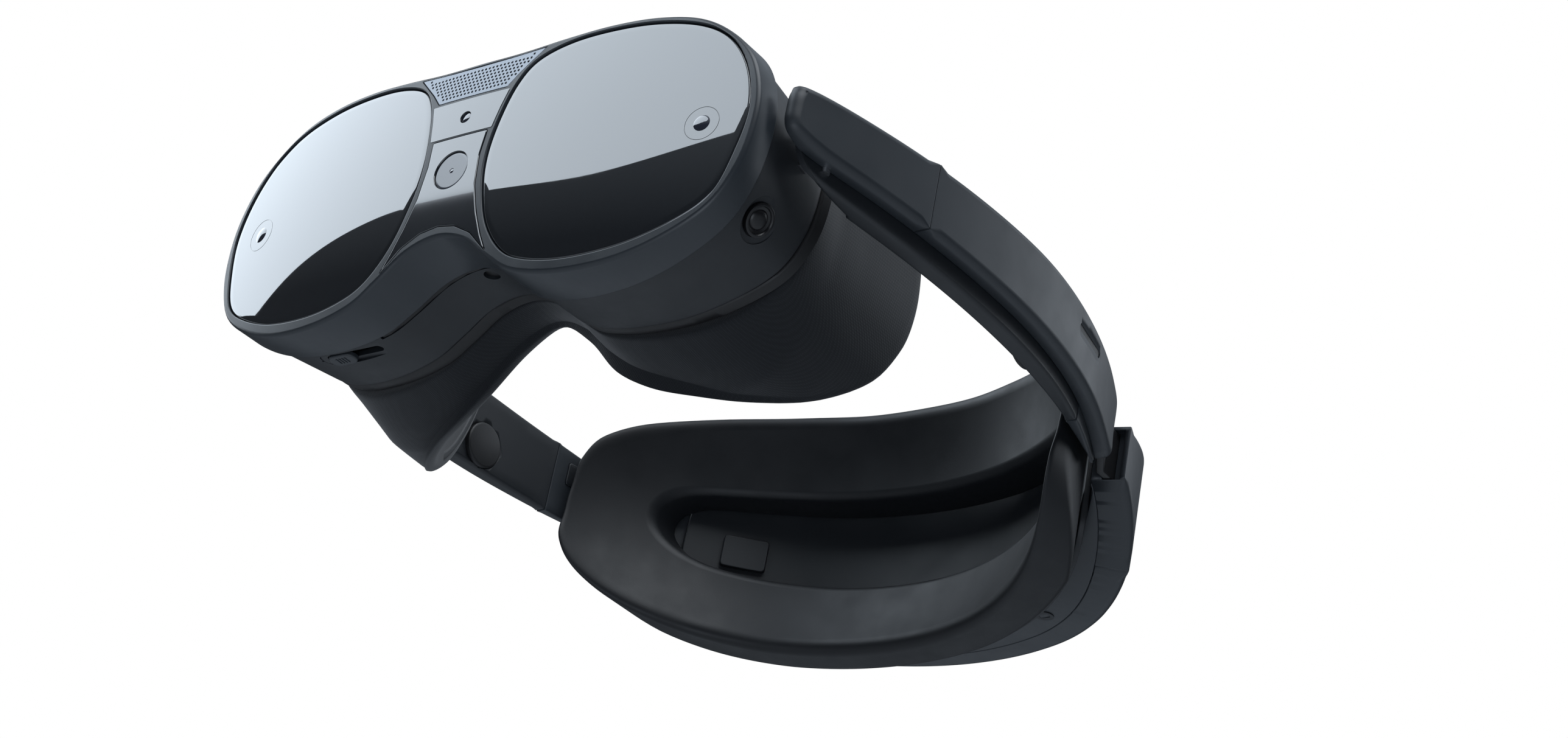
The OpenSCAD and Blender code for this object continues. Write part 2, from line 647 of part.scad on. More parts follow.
at_eyes() rack(-1);  // rack_right
at_eyes() fit_dial();
at_eyes() usb_port();
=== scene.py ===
import json
import math

import bmesh
import bpy
import numpy as np
from mathutils import Matrix, Vector
from mathutils.geometry import delaunay_2d_cdt


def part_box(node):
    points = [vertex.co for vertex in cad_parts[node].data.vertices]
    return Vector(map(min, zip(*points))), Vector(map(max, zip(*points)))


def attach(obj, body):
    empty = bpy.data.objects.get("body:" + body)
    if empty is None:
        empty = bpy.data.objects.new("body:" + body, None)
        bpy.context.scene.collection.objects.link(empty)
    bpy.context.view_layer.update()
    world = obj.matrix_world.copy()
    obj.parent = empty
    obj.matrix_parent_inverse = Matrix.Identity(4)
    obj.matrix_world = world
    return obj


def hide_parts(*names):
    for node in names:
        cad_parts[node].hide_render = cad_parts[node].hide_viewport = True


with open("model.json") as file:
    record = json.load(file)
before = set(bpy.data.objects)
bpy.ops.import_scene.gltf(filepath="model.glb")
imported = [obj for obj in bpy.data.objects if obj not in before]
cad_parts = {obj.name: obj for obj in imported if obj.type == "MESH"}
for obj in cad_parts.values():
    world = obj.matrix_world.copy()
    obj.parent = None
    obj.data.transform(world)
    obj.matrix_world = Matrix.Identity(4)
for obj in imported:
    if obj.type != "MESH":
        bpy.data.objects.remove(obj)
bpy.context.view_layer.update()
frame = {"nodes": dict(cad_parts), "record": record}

# All shapes below are drawn in millimetres from the middle of the centre camera's face.
cam_lo, cam_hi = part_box("rgb_camera")
ORIGIN = np.array([(cam_lo.x + cam_hi.x) / 2, cam_lo.y + 0.001, (cam_lo.z + cam_hi.z) / 2])


def metres(points):
    return np.asarray(points, float) / 1000 + ORIGIN


def placed(name, data):
    """A new object in the scene."""
    obj = bpy.data.objects.new(name, data)
    bpy.context.scene.collection.objects.link(obj)
    return obj


# ---------------------------------------------------------------- camera
AZ, EL, ROLL = (math.radians(a) for a in (41.167, -27.449, 11.066))
right0 = np.array([math.cos(AZ), math.sin(AZ), 0])
back = np.array([math.sin(AZ) * math.cos(EL), -math.cos(AZ) * math.cos(EL), math.sin(EL)])
up0 = np.cross(back, right0)
cam_x = math.cos(ROLL) * right0 + math.sin(ROLL) * up0
cam_y = -math.sin(ROLL) * right0 + math.cos(ROLL) * up0
camera = placed("camera", bpy.data.cameras.new("camera"))
place = Matrix([[cam_x[i], cam_y[i], back[i], 0] for i in range(3)] + [[0, 0, 0, 1]])
place.translation = Vector(metres([529.485, -464.041, -400.050]))
camera.matrix_world = place
camera.data.sensor_width = 36
camera.data.lens = 71.63
camera.data.clip_start, camera.data.clip_end = 0.01, 50
bpy.context.scene.camera = camera


# ---------------------------------------------------------------- outlines
def smooth(points, n=6):
    """Closed smooth curve through the points, n steps between each pair."""
    p = np.asarray(points, float)
    m = len(p)
    out = []
    for i in range(m):
        a, b, c, d = (p[(i + k) % m] for k in (-1, 0, 1, 2))
        t = (np.arange(n) / n)[:, None]
        out.append(0.5 * (2 * b + (c - a) * t + (2 * a - 5 * b + 4 * c - d) * t * t
                          + (3 * b - a - 3 * c + d) * t ** 3))
    return np.vstack(out)


def both(half):
    return half + [[-x, z] for x, z in reversed(half) if x > 0.01]


def ccw(p):
    p = np.asarray(p, float)
    x, y = p[:, 0], p[:, 1]
    area = np.sum(x * np.roll(y, -1) - np.roll(x, -1) * y)
    return p if area > 0 else p[::-1]


def resample(p, step):
    p = np.asarray(p, float)
    q = np.vstack([p, p[:1]])
    s = np.concatenate([[0], np.cumsum(np.linalg.norm(np.diff(q, axis=0), axis=1))])
    n = max(8, int(round(s[-1] / step)))
    t = np.linspace(0, s[-1], n, endpoint=False)
    return np.stack([np.interp(t, s, q[:, k]) for k in range(2)], 1)


def outward(p):
    t = np.roll(p, -1, 0) - np.roll(p, 1, 0)
    t /= np.maximum(np.linalg.norm(t, axis=1), 1e-9)[:, None]
    return np.stack([t[:, 1], -t[:, 0]], 1)


def shifted(p, d):
    """Closed outline p (counter-clockwise) moved outwards by d, a number or one for each point."""
    d = np.broadcast_to(np.asarray(d, float), (len(p),))
    steps = max(1, int(math.ceil(np.abs(d).max() / 0.4)))
    q = p.copy()
    start = np.roll(p, -1, 0) - p
    for _ in range(steps):
        q = q + outward(q) * (d / steps)[:, None]
        for _ in range(3):
            edge = np.roll(q, -1, 0) - q
            bad = np.sum(edge * start, axis=1) <= 0
            if not bad.any():
                break
            for i in np.where(bad)[0]:
                j = (i + 1) % len(q)
                q[i] = q[j] = (q[i] + q[j]) / 2
                q[j] = q[j] + start[i] * 1e-4
    return q


def clip(p, axis, value, keep_low):
    """The part of a closed outline on one side of a straight line."""
    s = 1 if keep_low else -1
    out = []
    for a, b in zip(p, np.roll(p, -1, 0)):
        da, db = s * (value - a[axis]), s * (value - b[axis])
        if da >= 0:
            out.append(a)
        if da * db < 0:
            out.append(a + (b - a) * da / (da - db))
    return np.array(out)


def between(p, axis, low, high):
    return clip(clip(p, axis, high, True), axis, low, False)


def quarter(n):
    """Angles over a quarter turn."""
    return np.linspace(0, math.pi / 2, n + 1)


def fillet(r, seg=4):
    """Rounded front edge of radius r, as rows for plate."""
    return [(-r + r * math.sin(t), "f", r * (1 - math.cos(t))) for t in quarter(seg)]


def rear_fillet(r, seg=4):
    return [(-r + r * math.cos(t), "r", r * (1 - math.sin(t))) for t in quarter(seg)]


def inside(points, loop):
    x, y = points[:, 0][:, None], points[:, 1][:, None]
    a, b = loop, np.roll(loop, -1, 0)
    cross = (a[:, 1] > y) != (b[:, 1] > y)
    with np.errstate(divide="ignore", invalid="ignore"):
        at = a[:, 0] + (y - a[:, 1]) * (b[:, 0] - a[:, 0]) / (b[:, 1] - a[:, 1])
    return (np.sum(cross & (x < at), axis=1) % 2) == 1


def circle(x, z, r, n=48):
    t = np.arange(n) * 2 * math.pi / n
    return np.stack([x + r * np.cos(t), z + r * np.sin(t)], 1)


def pill(a, b, r, n=16):
    """Outline of a slot from a to b."""
    a, b = np.array(a, float), np.array(b, float)
    f = math.atan2(b[1] - a[1], b[0] - a[0])
    t = np.linspace(-math.pi / 2, math.pi / 2, n)
    end = np.stack([b[0] + r * np.cos(f + t), b[1] + r * np.sin(f + t)], 1)
    start = np.stack([a[0] + r * np.cos(f + t + math.pi), a[1] + r * np.sin(f + t + math.pi)], 1)
    return resample(np.vstack([end, start]), 0.5)


FRAME = [[0, -20], [10, -22.5], [19, -29], [28, -34.4], [42, -36.8], [58, -35.8], [72, -31.2],
         [83.6, -23.6], [89.6, -13], [91.8, -1.5], [91.2, 9.5], [87, 20.2], [79, 28.5], [69, 34.2],
         [56, 36.8], [42, 37.1], [28, 36], [14, 34.7], [0, 34.6]]
GASKET = [[0, -19], [13, -26], [24, -36.5], [34, -41.5], [44, -43], [56, -42.5], [67, -38],
          [74.5, -28], [77.5, -15], [78, -2], [77, 12], [75, 25], [69, 35.5], [59, 42.5], [47, 46],
          [34, 48], [23, 48.8], [11, 49], [0, 49]]
EYE = [[0, -3], [11, -9], [21, -21], [34, -28.6], [46, -30.6], [57, -28.6], [65, -20.5],
       [68.5, -8], [68, 8], [62.5, 20.5], [53, 28.4], [40, 30.8], [26, 30.2], [12, 29.4], [0, 29]]
LENS = [[89.4, 3.5], [86.6, 15.8], [80, 25.8], [70.4, 31.7], [56.6, 34.8], [42, 35.3], [29.4, 34],
        [20, 30.4], [15.2, 24], [12.4, 14], [11.2, 3], [12.4, -7], [16.5, -19], [23.5, -27.8],
        [32, -31.7], [45, -33.2], [61, -31.4], [75, -26.3], [83.5, -20], [87.6, -9]]
BRIDGE = [[0, -16.8], [6, -17.7], [12, -20.8], [18.2, -26.9], [15.6, -22], [12.6, -15],
          [9.9, -6.6], [8.9, 3], [9.4, 10.4]]
GRILLE = [[0, 23.6], [12, 23.6], [15.2, 27.4], [22, 34.2], [10, 33.4], [0, 33.2]]
HOUSING = [[0, -25], [25, -25], [42, -25], [58, -23.8], [72, -20], [84, -12.5], [92, -4],
           [93.5, 6], [84, 12.5], [70, 18], [50, 24], [25, 27], [0, 27.5]]
PAD = [[0, -42], [25, -41.8], [42, -41], [60, -38.5], [75, -34], [84, -27.5], [88.5, -19],
       [89.6, -9], [89.6, 1], [88.8, 11], [85, 21], [76, 29.5], [60, 36], [39, 39.5], [19, 40.5], [0, 41]]
SLOT = [[0, -16.5], [21, -16.3], [35, -15.6], [49, -14.5], [62, -12.3], [70, -8.5], [74.5, -3],
        [74.5, 3], [71, 8], [64, 10.8], [50, 12.6], [35, 13.3], [18, 13.7], [0, 13.8]]
COVER_SIDE = [[16.8, 8], [17.4, 13], [21, 15.6], [45, 16.6], [80, 17.4], [115, 17.2],
              [150, 14.6], [168, 12], [176.4, 9], [177, 0], [176.6, -7.4], [150, -5], [115, -3.6],
              [80, -2.6], [50, -1.6], [30, -0.6], [20, 1.6], [17.2, 4]]
CORE_SIDE = [[24, 7], [26, 13], [34, 15.4], [60, 16.4], [90, 17], [120, 16.6], [150, 14],
             [168, 11.4], [176, 8.6], [177, 0], [176.4, -8.6], [168, -10], [140, -9], [110, -8.4],
             [70, -7.2], [45, -6], [30, -4], [25, 0]]

DOME = 450.0


def dome(d):
    """Domed front surface moved back by d, over [x, z] points."""
    return lambda p: np.stack([p[:, 0], d + DOME - np.sqrt(DOME ** 2 - p[:, 0] ** 2 - p[:, 1] ** 2),
                               p[:, 1]], 1)


# ---------------------------------------------------------------- mesh tools
def new_object(name, verts, faces, normals=None, smooth_angle=None, slots=None):
    mesh = bpy.data.meshes.new(name)
    mesh.from_pydata([tuple(v) for v in metres(verts)], [], [tuple(f) for f in faces])
    mesh.validate()
    bm = bmesh.new()
    bm.from_mesh(mesh)
    bmesh.ops.recalc_face_normals(bm, faces=bm.faces)
    bm.to_mesh(mesh)
    bm.free()
    mesh.shade_smooth()
    if slots is not None and len(slots) == len(mesh.polygons):
        mesh.polygons.foreach_set("material_index", np.asarray(slots, np.int32))
    if smooth_angle is not None:
        mesh.set_sharp_from_angle(angle=math.radians(smooth_angle))
    obj = placed(name, mesh)
    if normals is not None:
        found = np.zeros(len(mesh.vertices) * 3, np.float32)
        mesh.vertices.foreach_get("normal", found)
        found = found.reshape(-1, 3).astype(float)
        for i, n in normals.items():
            if np.dot(found[i], n) < 0:
                n = -n
            found[i] = n
        mesh.normals_split_custom_set_from_vertices([tuple(v) for v in found])
    return obj


def cap_triangles(loops, step):
    """Triangles over the area inside loops[0] and outside the others: (extra points, triangles)."""
    pts = np.vstack(loops)
    lo, hi = loops[0].min(0), loops[0].max(0)
    rows = np.arange(lo[1], hi[1], step * 0.866)
    grid = np.array([[x + (k % 2) * step / 2, z] for k, z in enumerate(rows)
                     for x in np.arange(lo[0], hi[0], step)]).reshape(-1, 2)
    if len(grid):
        keep = inside(grid, loops[0])
        for h in loops[1:]:
            keep &= ~inside(grid, h)
        grid = grid[keep]
    if len(grid):
        near = np.full(len(grid), 1e9)
        for k in range(0, len(pts), 256):
            block = pts[k:k + 256]
            near = np.minimum(near, np.linalg.norm(grid[:, None] - block[None], axis=2).min(1))
        grid = grid[near > step * 0.55]
    allp = np.vstack([pts, grid]) if len(grid) else pts
    edges, at = [], 0
    for q in loops:
        n = len(q)
        edges += [(at + i, at + (i + 1) % n) for i in range(n)]
        at += n
    out, _, tris, orig, _, _ = delaunay_2d_cdt([Vector(p) for p in allp], edges, [], 1, 1e-7)
    index, extra = [], []
    for i, v in enumerate(out):
        if orig[i]:
            index.append(orig[i][0])
        else:
            index.append(len(allp) + len(extra))
            extra.append([v.x, v.y])
    grid_all = np.vstack([grid.reshape(-1, 2), np.array(extra).reshape(-1, 2)])
    where = np.array([[v.x, v.y] for v in out])
    tris = [t for t in tris if len(set(index[i] for i in t)) == 3]
    mid = np.array([where[list(t)].mean(0) for t in tris])
    keep = inside(mid, loops[0])
    for h in loops[1:]:
        keep &= ~inside(mid, h)
    return grid_all, [tuple(index[i] for i in t) for t, k in zip(tris, keep) if k]


def plate(name, outer, front, rear, holes=(), profile=None, hole_profile=None, rf=0.5, rb=0.3,
          seg=4, step=2.5, band=None):
    """A solid between surfaces front and rear over an outline with holes, its edges rounded.
    A profile is a list of (offset, from front or rear, depth)."""
    def rounded(a, b):
        return fillet(a, seg) + rear_fillet(b, seg)

    verts, faces, marks = [], [], []
    loops = [(ccw(outer), 1)] + [(ccw(h), -1) for h in holes]
    first, last = [], []
    for li, (loop, sign) in enumerate(loops):
        if li == 0:
            rows = profile or rounded(rf, rb)
        else:
            rows = hole_profile[li - 1] if hole_profile else rounded(0.4, min(rb, 0.3))
        rings = []
        for off, mode, depth in rows:
            q = shifted(loop, sign * np.asarray(off)) if np.any(np.asarray(off) != 0) else loop
            a, b = front(q), rear(q)
            length = np.linalg.norm(b - a, axis=1)[:, None]
            d = (b - a) / np.maximum(length, 1e-9)
            depth = np.broadcast_to(np.asarray(depth, float), (len(q),))[:, None]
            rings.append((q, a + d * depth if mode == "f" else b - d * depth))
        base = len(verts)
        n = len(loop)
        for _, ring in rings:
            verts.extend(ring)
        for k in range(len(rings) - 1):
            for i in range(n):
                j = (i + 1) % n
                faces.append((base + k * n + i, base + k * n + j,
                              base + (k + 1) * n + j, base + (k + 1) * n + i))
                marks.append(1 if band is not None and li == 0 and k <= band else 0)
        first.append((rings[0][0], base))
        last.append((rings[-1][0], base + (len(rings) - 1) * n))
    for which, surface in ((first, front), (last, rear)):
        ids = np.concatenate([np.arange(len(q)) + b for q, b in which])
        extra, tris = cap_triangles([q for q, _ in which], step)
        at = len(verts)
        if len(extra):
            verts.extend(surface(extra))
        ids = np.concatenate([ids, at + np.arange(len(extra))]).astype(int)
        for t in tris:
            faces.append(tuple(int(ids[i]) for i in t))
            marks.append(0)
        if surface is rear:
            continue
        flat = np.vstack([q for q, _ in which] + ([extra] if len(extra) else []))
        e = 0.05
        nu = surface(flat + [e, 0]) - surface(flat - [e, 0])
        nv = surface(flat + [0, e]) - surface(flat - [0, e])
        nn = np.cross(nu, nv)
        nn /= np.maximum(np.linalg.norm(nn, axis=1), 1e-12)[:, None]
        normals = {int(i): v for i, v in zip(ids, nn)}
    return new_object(name, verts, faces, normals, slots=marks if band is not None else None)


def skin(name, rings, smooth_angle=None):
    """Quads over rings of points, the last ring joined to the first."""
    m, n = len(rings), len(rings[0])
    faces = [(k * n + i, k * n + (i + 1) % n, (k + 1) % m * n + (i + 1) % n, (k + 1) % m * n + i)
             for k in range(m) for i in range(n)]
    return new_object(name, np.vstack(rings), faces, None, smooth_angle)


def turned(name, profile, centre, axis, n=96, ripple=None, smooth_angle=40):
    """A solid turned about axis through centre. profile is [radius, height] from one end to the other."""
    axis = np.asarray(axis, float)
    axis /= np.linalg.norm(axis)
    u = np.cross(axis, [0, 0, 1] if abs(axis[2]) < 0.9 else [1, 0, 0])
    u /= np.linalg.norm(u)
    v = np.cross(axis, u)
    verts, faces = [], []
    t = np.arange(n) * 2 * math.pi / n
    for k, (r, h) in enumerate(profile):
        rr = r + (ripple(k, t) if ripple and r > 0 else 0)
        for a, q in zip(t, np.broadcast_to(rr, (n,))):
            verts.append(np.asarray(centre) + axis * h + q * (math.cos(a) * u + math.sin(a) * v))
    for k in range(len(profile) - 1):
        for i in range(n):
            j = (i + 1) % n
            faces.append((k * n + i, k * n + j, (k + 1) * n + j, (k + 1) * n + i))
    top = len(verts)
    verts.append(np.asarray(centre) + axis * profile[0][1])
    verts.append(np.asarray(centre) + axis * profile[-1][1])
    for i in range(n):
        j = (i + 1) % n
        faces.append((i, j, top))
        faces.append(((len(profile) - 1) * n + i, (len(profile) - 1) * n + j, top + 1))
    return new_object(name, verts, faces, None, smooth_angle)


def round_rect(x0, x1, z0, z1, r, step=0.5):
    pts = []
    corners = ((x1 - r, z1 - r), (x0 + r, z1 - r), (x0 + r, z0 + r), (x1 - r, z0 + r))
    for k, (cx, cz) in enumerate(corners):
        for t in np.linspace(90 * k, 90 * k + 90, 7):
            pts.append([cx + r * math.cos(math.radians(t)), cz + r * math.sin(math.radians(t))])
    return resample(np.array(pts), step)


def join(name, objs):
    """One piece of several closed solids."""
    bm = bmesh.new()
    for o in objs:
        bm.from_mesh(o.data)
        bpy.data.objects.remove(o)
    mesh = bpy.data.meshes.new(name)
    bm.to_mesh(mesh)
    bm.free()
    return placed(name, mesh)


def cut(obj, cutters, smooth_angle=35):
    """Cuts closed solids out of obj."""
    for c in cutters:
        m = obj.modifiers.new("cut", "BOOLEAN")
        m.operation, m.solver, m.object = "DIFFERENCE", "EXACT", c
    dg = bpy.context.evaluated_depsgraph_get()
    dg.update()
    mesh = bpy.data.meshes.new_from_object(obj.evaluated_get(dg))
    obj.modifiers.clear()
    obj.data = mesh
    for c in cutters:
        bpy.data.objects.remove(c)
    mesh.shade_smooth()
    mesh.set_sharp_from_angle(angle=math.radians(smooth_angle))
    return obj


def mirrored(obj, name):
    mesh = obj.data.copy()
    mesh.name = name
    mesh.transform(Matrix.Translation(Vector((ORIGIN[0], 0, 0))) @ Matrix.Diagonal((-1, 1, 1, 1))
                   @ Matrix.Translation(Vector((-ORIGIN[0], 0, 0))))
    mesh.flip_normals()
    return placed(name, mesh)


# ---------------------------------------------------------------- materials
def nodes_of(name):
    m = bpy.data.materials.new(name)
    m.use_nodes = True
    tree = m.node_tree
    tree.nodes.clear()
    out = tree.nodes.new("ShaderNodeOutputMaterial")
    bsdf = tree.nodes.new("ShaderNodeBsdfPrincipled")
    tree.links.new(bsdf.outputs["BSDF"], out.inputs["Surface"])
    coord = tree.nodes.new("ShaderNodeTexCoord")
    return m, tree, bsdf, coord.outputs["Object"]


def put(node, values):
    """Sets inputs of a node by name."""
    for key, value in values.items():
        node.inputs[key].default_value = value


def noise(tree, coord, scale, detail=4, rough=0.55):
    n = tree.nodes.new("ShaderNodeTexNoise")
    put(n, {"Scale": scale, "Detail": detail, "Roughness": rough})
    tree.links.new(coord, n.inputs["Vector"])
    return n.outputs["Fac"]


def span(tree, value, lo, hi, a=0.0, b=1.0):
    m = tree.nodes.new("ShaderNodeMapRange")
    for k, v in zip(("From Min", "From Max", "To Min", "To Max"), (a, b, lo, hi)):
        m.inputs[k].default_value = v
    tree.links.new(value, m.inputs["Value"])
    return m.outputs["Result"]


def blend_colours(tree, fac, a, b):
    m = tree.nodes.new("ShaderNodeMix")
    m.data_type = "RGBA"
    put(m, {"A": (*a, 1), "B": (*b, 1)})
    tree.links.new(fac, m.inputs["Factor"])
    return m.outputs["Result"]


def paint(tree, bsdf, fac, colour, low, high):
    """Base colour that wanders between two shares of a colour."""
    lo, hi = (tuple(v * k for v in colour) for k in (low, high))
    tree.links.new(blend_colours(tree, fac, lo, hi), bsdf.inputs["Base Color"])


def bump(tree, bsdf, height, strength, distance):
    b = tree.nodes.new("ShaderNodeBump")
    put(b, {"Strength": strength, "Distance": distance})
    tree.links.new(height, b.inputs["Height"])
    tree.links.new(b.outputs["Normal"], bsdf.inputs["Normal"])


def plastic(name, colour, rough=0.42, grain=0.25, variation=0.12, spec=0.5):
    m, tree, bsdf, c = nodes_of(name)
    broad = noise(tree, c, 30, 3)
    fine = noise(tree, c, 2600, 2)
    paint(tree, bsdf, broad, colour, 1 - variation, 1 + variation)
    tree.links.new(span(tree, noise(tree, c, 90, 5), rough - 0.05, rough + 0.05, 0.3, 0.7),
                   bsdf.inputs["Roughness"])
    bsdf.inputs["Specular IOR Level"].default_value = spec
    bump(tree, bsdf, fine, grain, 0.00003)
    return m


def gloss(name, colour, rough=0.03, coat=1.0):
    m, tree, bsdf, c = nodes_of(name)
    broad = noise(tree, c, 18, 2)
    paint(tree, bsdf, broad, colour, 0.9, 1.1)
    smear = noise(tree, c, 45, 4)
    tree.links.new(span(tree, smear, rough, rough + 0.02, 0.45, 0.75), bsdf.inputs["Roughness"])
    put(bsdf, {"IOR": 1.9, "Coat Weight": coat, "Coat Roughness": 0.01})
    return m


def metal(name, colour, rough=0.3):
    m, tree, bsdf, c = nodes_of(name)
    stretch = tree.nodes.new("ShaderNodeMapping")
    stretch.inputs["Scale"].default_value = (1, 1, 14)
    tree.links.new(c, stretch.inputs["Vector"])
    brush = noise(tree, stretch.outputs["Vector"], 350, 3)
    paint(tree, bsdf, brush, colour, 0.88, 1)
    bsdf.inputs["Metallic"].default_value = 1
    tree.links.new(span(tree, brush, rough - 0.06, rough + 0.08), bsdf.inputs["Roughness"])
    bump(tree, bsdf, brush, 0.08, 0.00003)
    return m


def knit(name, colour, pitch=0.0009):
    """Fine knitted cover: rows of small crossing loops."""
    m, tree, bsdf, c = nodes_of(name)
    waves = []
    for turn in (0.6, -0.6):
        mp = tree.nodes.new("ShaderNodeMapping")
        mp.inputs["Rotation"].default_value = (0.35, turn, 0.2)
        tree.links.new(c, mp.inputs["Vector"])
        w = tree.nodes.new("ShaderNodeTexWave")
        w.wave_type, w.bands_direction = "BANDS", "X"
        put(w, {"Scale": 0.314 / pitch, "Distortion": 1.6, "Detail": 2, "Detail Scale": 1.5})
        tree.links.new(mp.outputs["Vector"], w.inputs["Vector"])
        waves.append(w.outputs["Fac"])
    mix = tree.nodes.new("ShaderNodeMath")
    mix.operation = "MULTIPLY"
    tree.links.new(waves[0], mix.inputs[0])
    tree.links.new(waves[1], mix.inputs[1])
    fuzz = noise(tree, c, 2500, 2)
    add = tree.nodes.new("ShaderNodeMath")
    add.operation = "MULTIPLY_ADD"
    add.inputs[1].default_value = 0.45
    tree.links.new(fuzz, add.inputs[0])
    tree.links.new(mix.outputs[0], add.inputs[2])
    height = add.outputs[0]
    paint(tree, bsdf, span(tree, height, 0, 1, 0.1, 1.1), colour, 0.8, 1.2)
    put(bsdf, {"Roughness": 0.92, "Specular IOR Level": 0.25, "Sheen Weight": 0.25,
               "Sheen Roughness": 0.5})
    bump(tree, bsdf, height, 0.35, 0.00008)
    return m


def glass(name, tint=(0.9, 0.95, 1.0)):
    m, tree, bsdf, c = nodes_of(name)
    broad = noise(tree, c, 25, 2)
    paint(tree, bsdf, broad, tint, 0.96, 1)
    put(bsdf, {"Transmission Weight": 1.0, "IOR": 1.5, "Coat Weight": 0.4})
    tree.links.new(span(tree, noise(tree, c, 60, 4), 0.005, 0.03, 0.4, 0.8), bsdf.inputs["Roughness"])
    return m


# how each material is made, and from which values
LOOKS = {
    "charcoal_satin": (plastic, (0.022, 0.026, 0.031), 0.40, 0.25),
    "frame_satin": (plastic, (0.024, 0.029, 0.035), 0.34, 0.15),
    "dark_matte": (plastic, (0.011, 0.013, 0.016), 0.46, 0.3),
    "black_plastic": (plastic, (0.006, 0.006, 0.007), 0.5, 0.3),
    "gloss_panel": (gloss, (0.008, 0.010, 0.013), 0.012),
    "panel_border": (gloss, (0.004, 0.005, 0.006), 0.05, 0.6),
    "bridge_gloss": (gloss, (0.012, 0.015, 0.019), 0.06, 0.8),
    "camera_gloss": (gloss, (0.004, 0.004, 0.005), 0.02),
    "camera_glass": (gloss, (0.02, 0.024, 0.04), 0.01),
    "grille_metal": (metal, (0.27, 0.29, 0.32), 0.42),
    "inner_metal": (metal, (0.45, 0.46, 0.48), 0.4),
    "steel": (metal, (0.5, 0.51, 0.53), 0.28),
    "circuit_board": (plastic, (0.01, 0.06, 0.03), 0.4, 0.4, 0.4),
    "clear_lens": (glass,),
    "knit_fabric": (knit, (0.012, 0.0135, 0.016), 0.0005),
    "pad_skin": (plastic, (0.007, 0.008, 0.010), 0.48, 0.4, 0.08, 0.35),
    "strap_black": (plastic, (0.008, 0.008, 0.009), 0.45, 0.3),
    "camera_disc": (gloss, (0.085, 0.095, 0.115), 0.2, 0.3),
    "camera_rim": (plastic, (0.005, 0.005, 0.006), 0.32, 0.1),
    "port_metal": (metal, (0.06, 0.062, 0.066), 0.45),
    "display_off": (gloss, (0.003, 0.003, 0.004), 0.1),
}
MAT = {name: make(name, *values) for name, (make, *values) in LOOKS.items()}


def dress(obj, *mats):
    obj.data.materials.clear()
    for m in mats:
        obj.data.materials.append(MAT[m])


def piece(obj, body, mat, *nodes, extra=()):
    """Finishes a piece: its material, the body it rides on and the CAD nodes it stands for."""
    dress(obj, mat, *extra)
    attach(obj, body)
    if nodes:
        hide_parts(*nodes)
    return obj


# CAD nodes that stay get their slot's material
for sub in frame["record"]["subparts"]:
    node = frame["nodes"][sub["node"]]
    node.data.materials.clear()
    node.data.materials.append(MAT["port_metal" if sub["node"] == "usb_port" else sub["material_slot"]])


# ---------------------------------------------------------------- visor front
frame_loop = resample(smooth(both(FRAME)), 0.8)
lens_loop = resample(smooth(LENS), 0.7)
bridge_loop = resample(np.array(both(BRIDGE), float), 0.5)
grille_loop = resample(np.array(both(GRILLE), float), 0.5)
flip = np.array([-1, 1])
SIDES = (("left", 1), ("right", -1))

skirt = 16 - dome(-1.2)(ccw(frame_loop))[:, 1]
frame_rows = fillet(1.1, 6) + [(0, "f", skirt - 0.25), (-0.07, "f", skirt - 0.07), (-0.25, "f", skirt),
                               (-2.2, "f", skirt), (-2.4, "f", skirt - 0.2), (-2.4, "r", 0)]
ledge = fillet(0.35, 3) + [(0, "f", 2.8), (0.1, "f", 2.95), (2.2, "f", 2.95), (2.2, "r", 0)]
plain_hole = fillet(0.25, 3) + [(0, "r", 0)]
front_frame = plate(
    "front_frame_shell", frame_loop, dome(-1.2), dome(2.4),
    holes=[shifted(ccw(lens_loop), 0.15), shifted(ccw(lens_loop * flip), 0.15),
           shifted(ccw(bridge_loop), 0.12), shifted(ccw(grille_loop), 0.12), circle(0, 16.6, 1.75)],
    profile=frame_rows, hole_profile=[ledge, ledge, plain_hole, plain_hole, plain_hole], step=2.2)
piece(front_frame, "visor", "frame_satin", "front_frame")

panel_rows = [(-2.3, "f", 0), (-2.1, "f", 0), (-0.7, "f", 0)] + fillet(0.7, 5)[1:]
panel_rows += [(0, "r", 0.2), (-0.2, "r", 0)]
panel = plate("lens_glass_left", lens_loop, dome(-0.8), dome(1.5), profile=panel_rows, step=1.6, band=9)
panel_right = mirrored(panel, "lens_glass_right")
piece(panel, "visor", "gloss_panel", "lens_panel_left", extra=["panel_border"])
piece(panel_right, "visor", "gloss_panel", "lens_panel_right", extra=["panel_border"])

bridge = plate("bridge_plate", bridge_loop, dome(-1.35), dome(0.05), holes=[circle(0, 0, 5.65)],
               hole_profile=[plain_hole], rf=0.25, rb=0.1, step=1.6)
piece(bridge, "visor", "bridge_gloss", "bridge_panel")

plate_half = [[0, 11.0], [10.7, 11.0], [11.9, 17], [13.4, 22.7], [0, 22.7]]
sensor_loop = resample(np.array(both(plate_half), float), 0.5)
sensor_plate = plate("sensor_plate", sensor_loop, dome(-1.32), dome(-1.1),
                     holes=[circle(0, 16.6, 1.85)], hole_profile=[[(0, "f", 0), (0, "r", 0)]],
                     rf=0.08, rb=0.05, step=1.6)
piece(sensor_plate, "visor", "bridge_gloss")

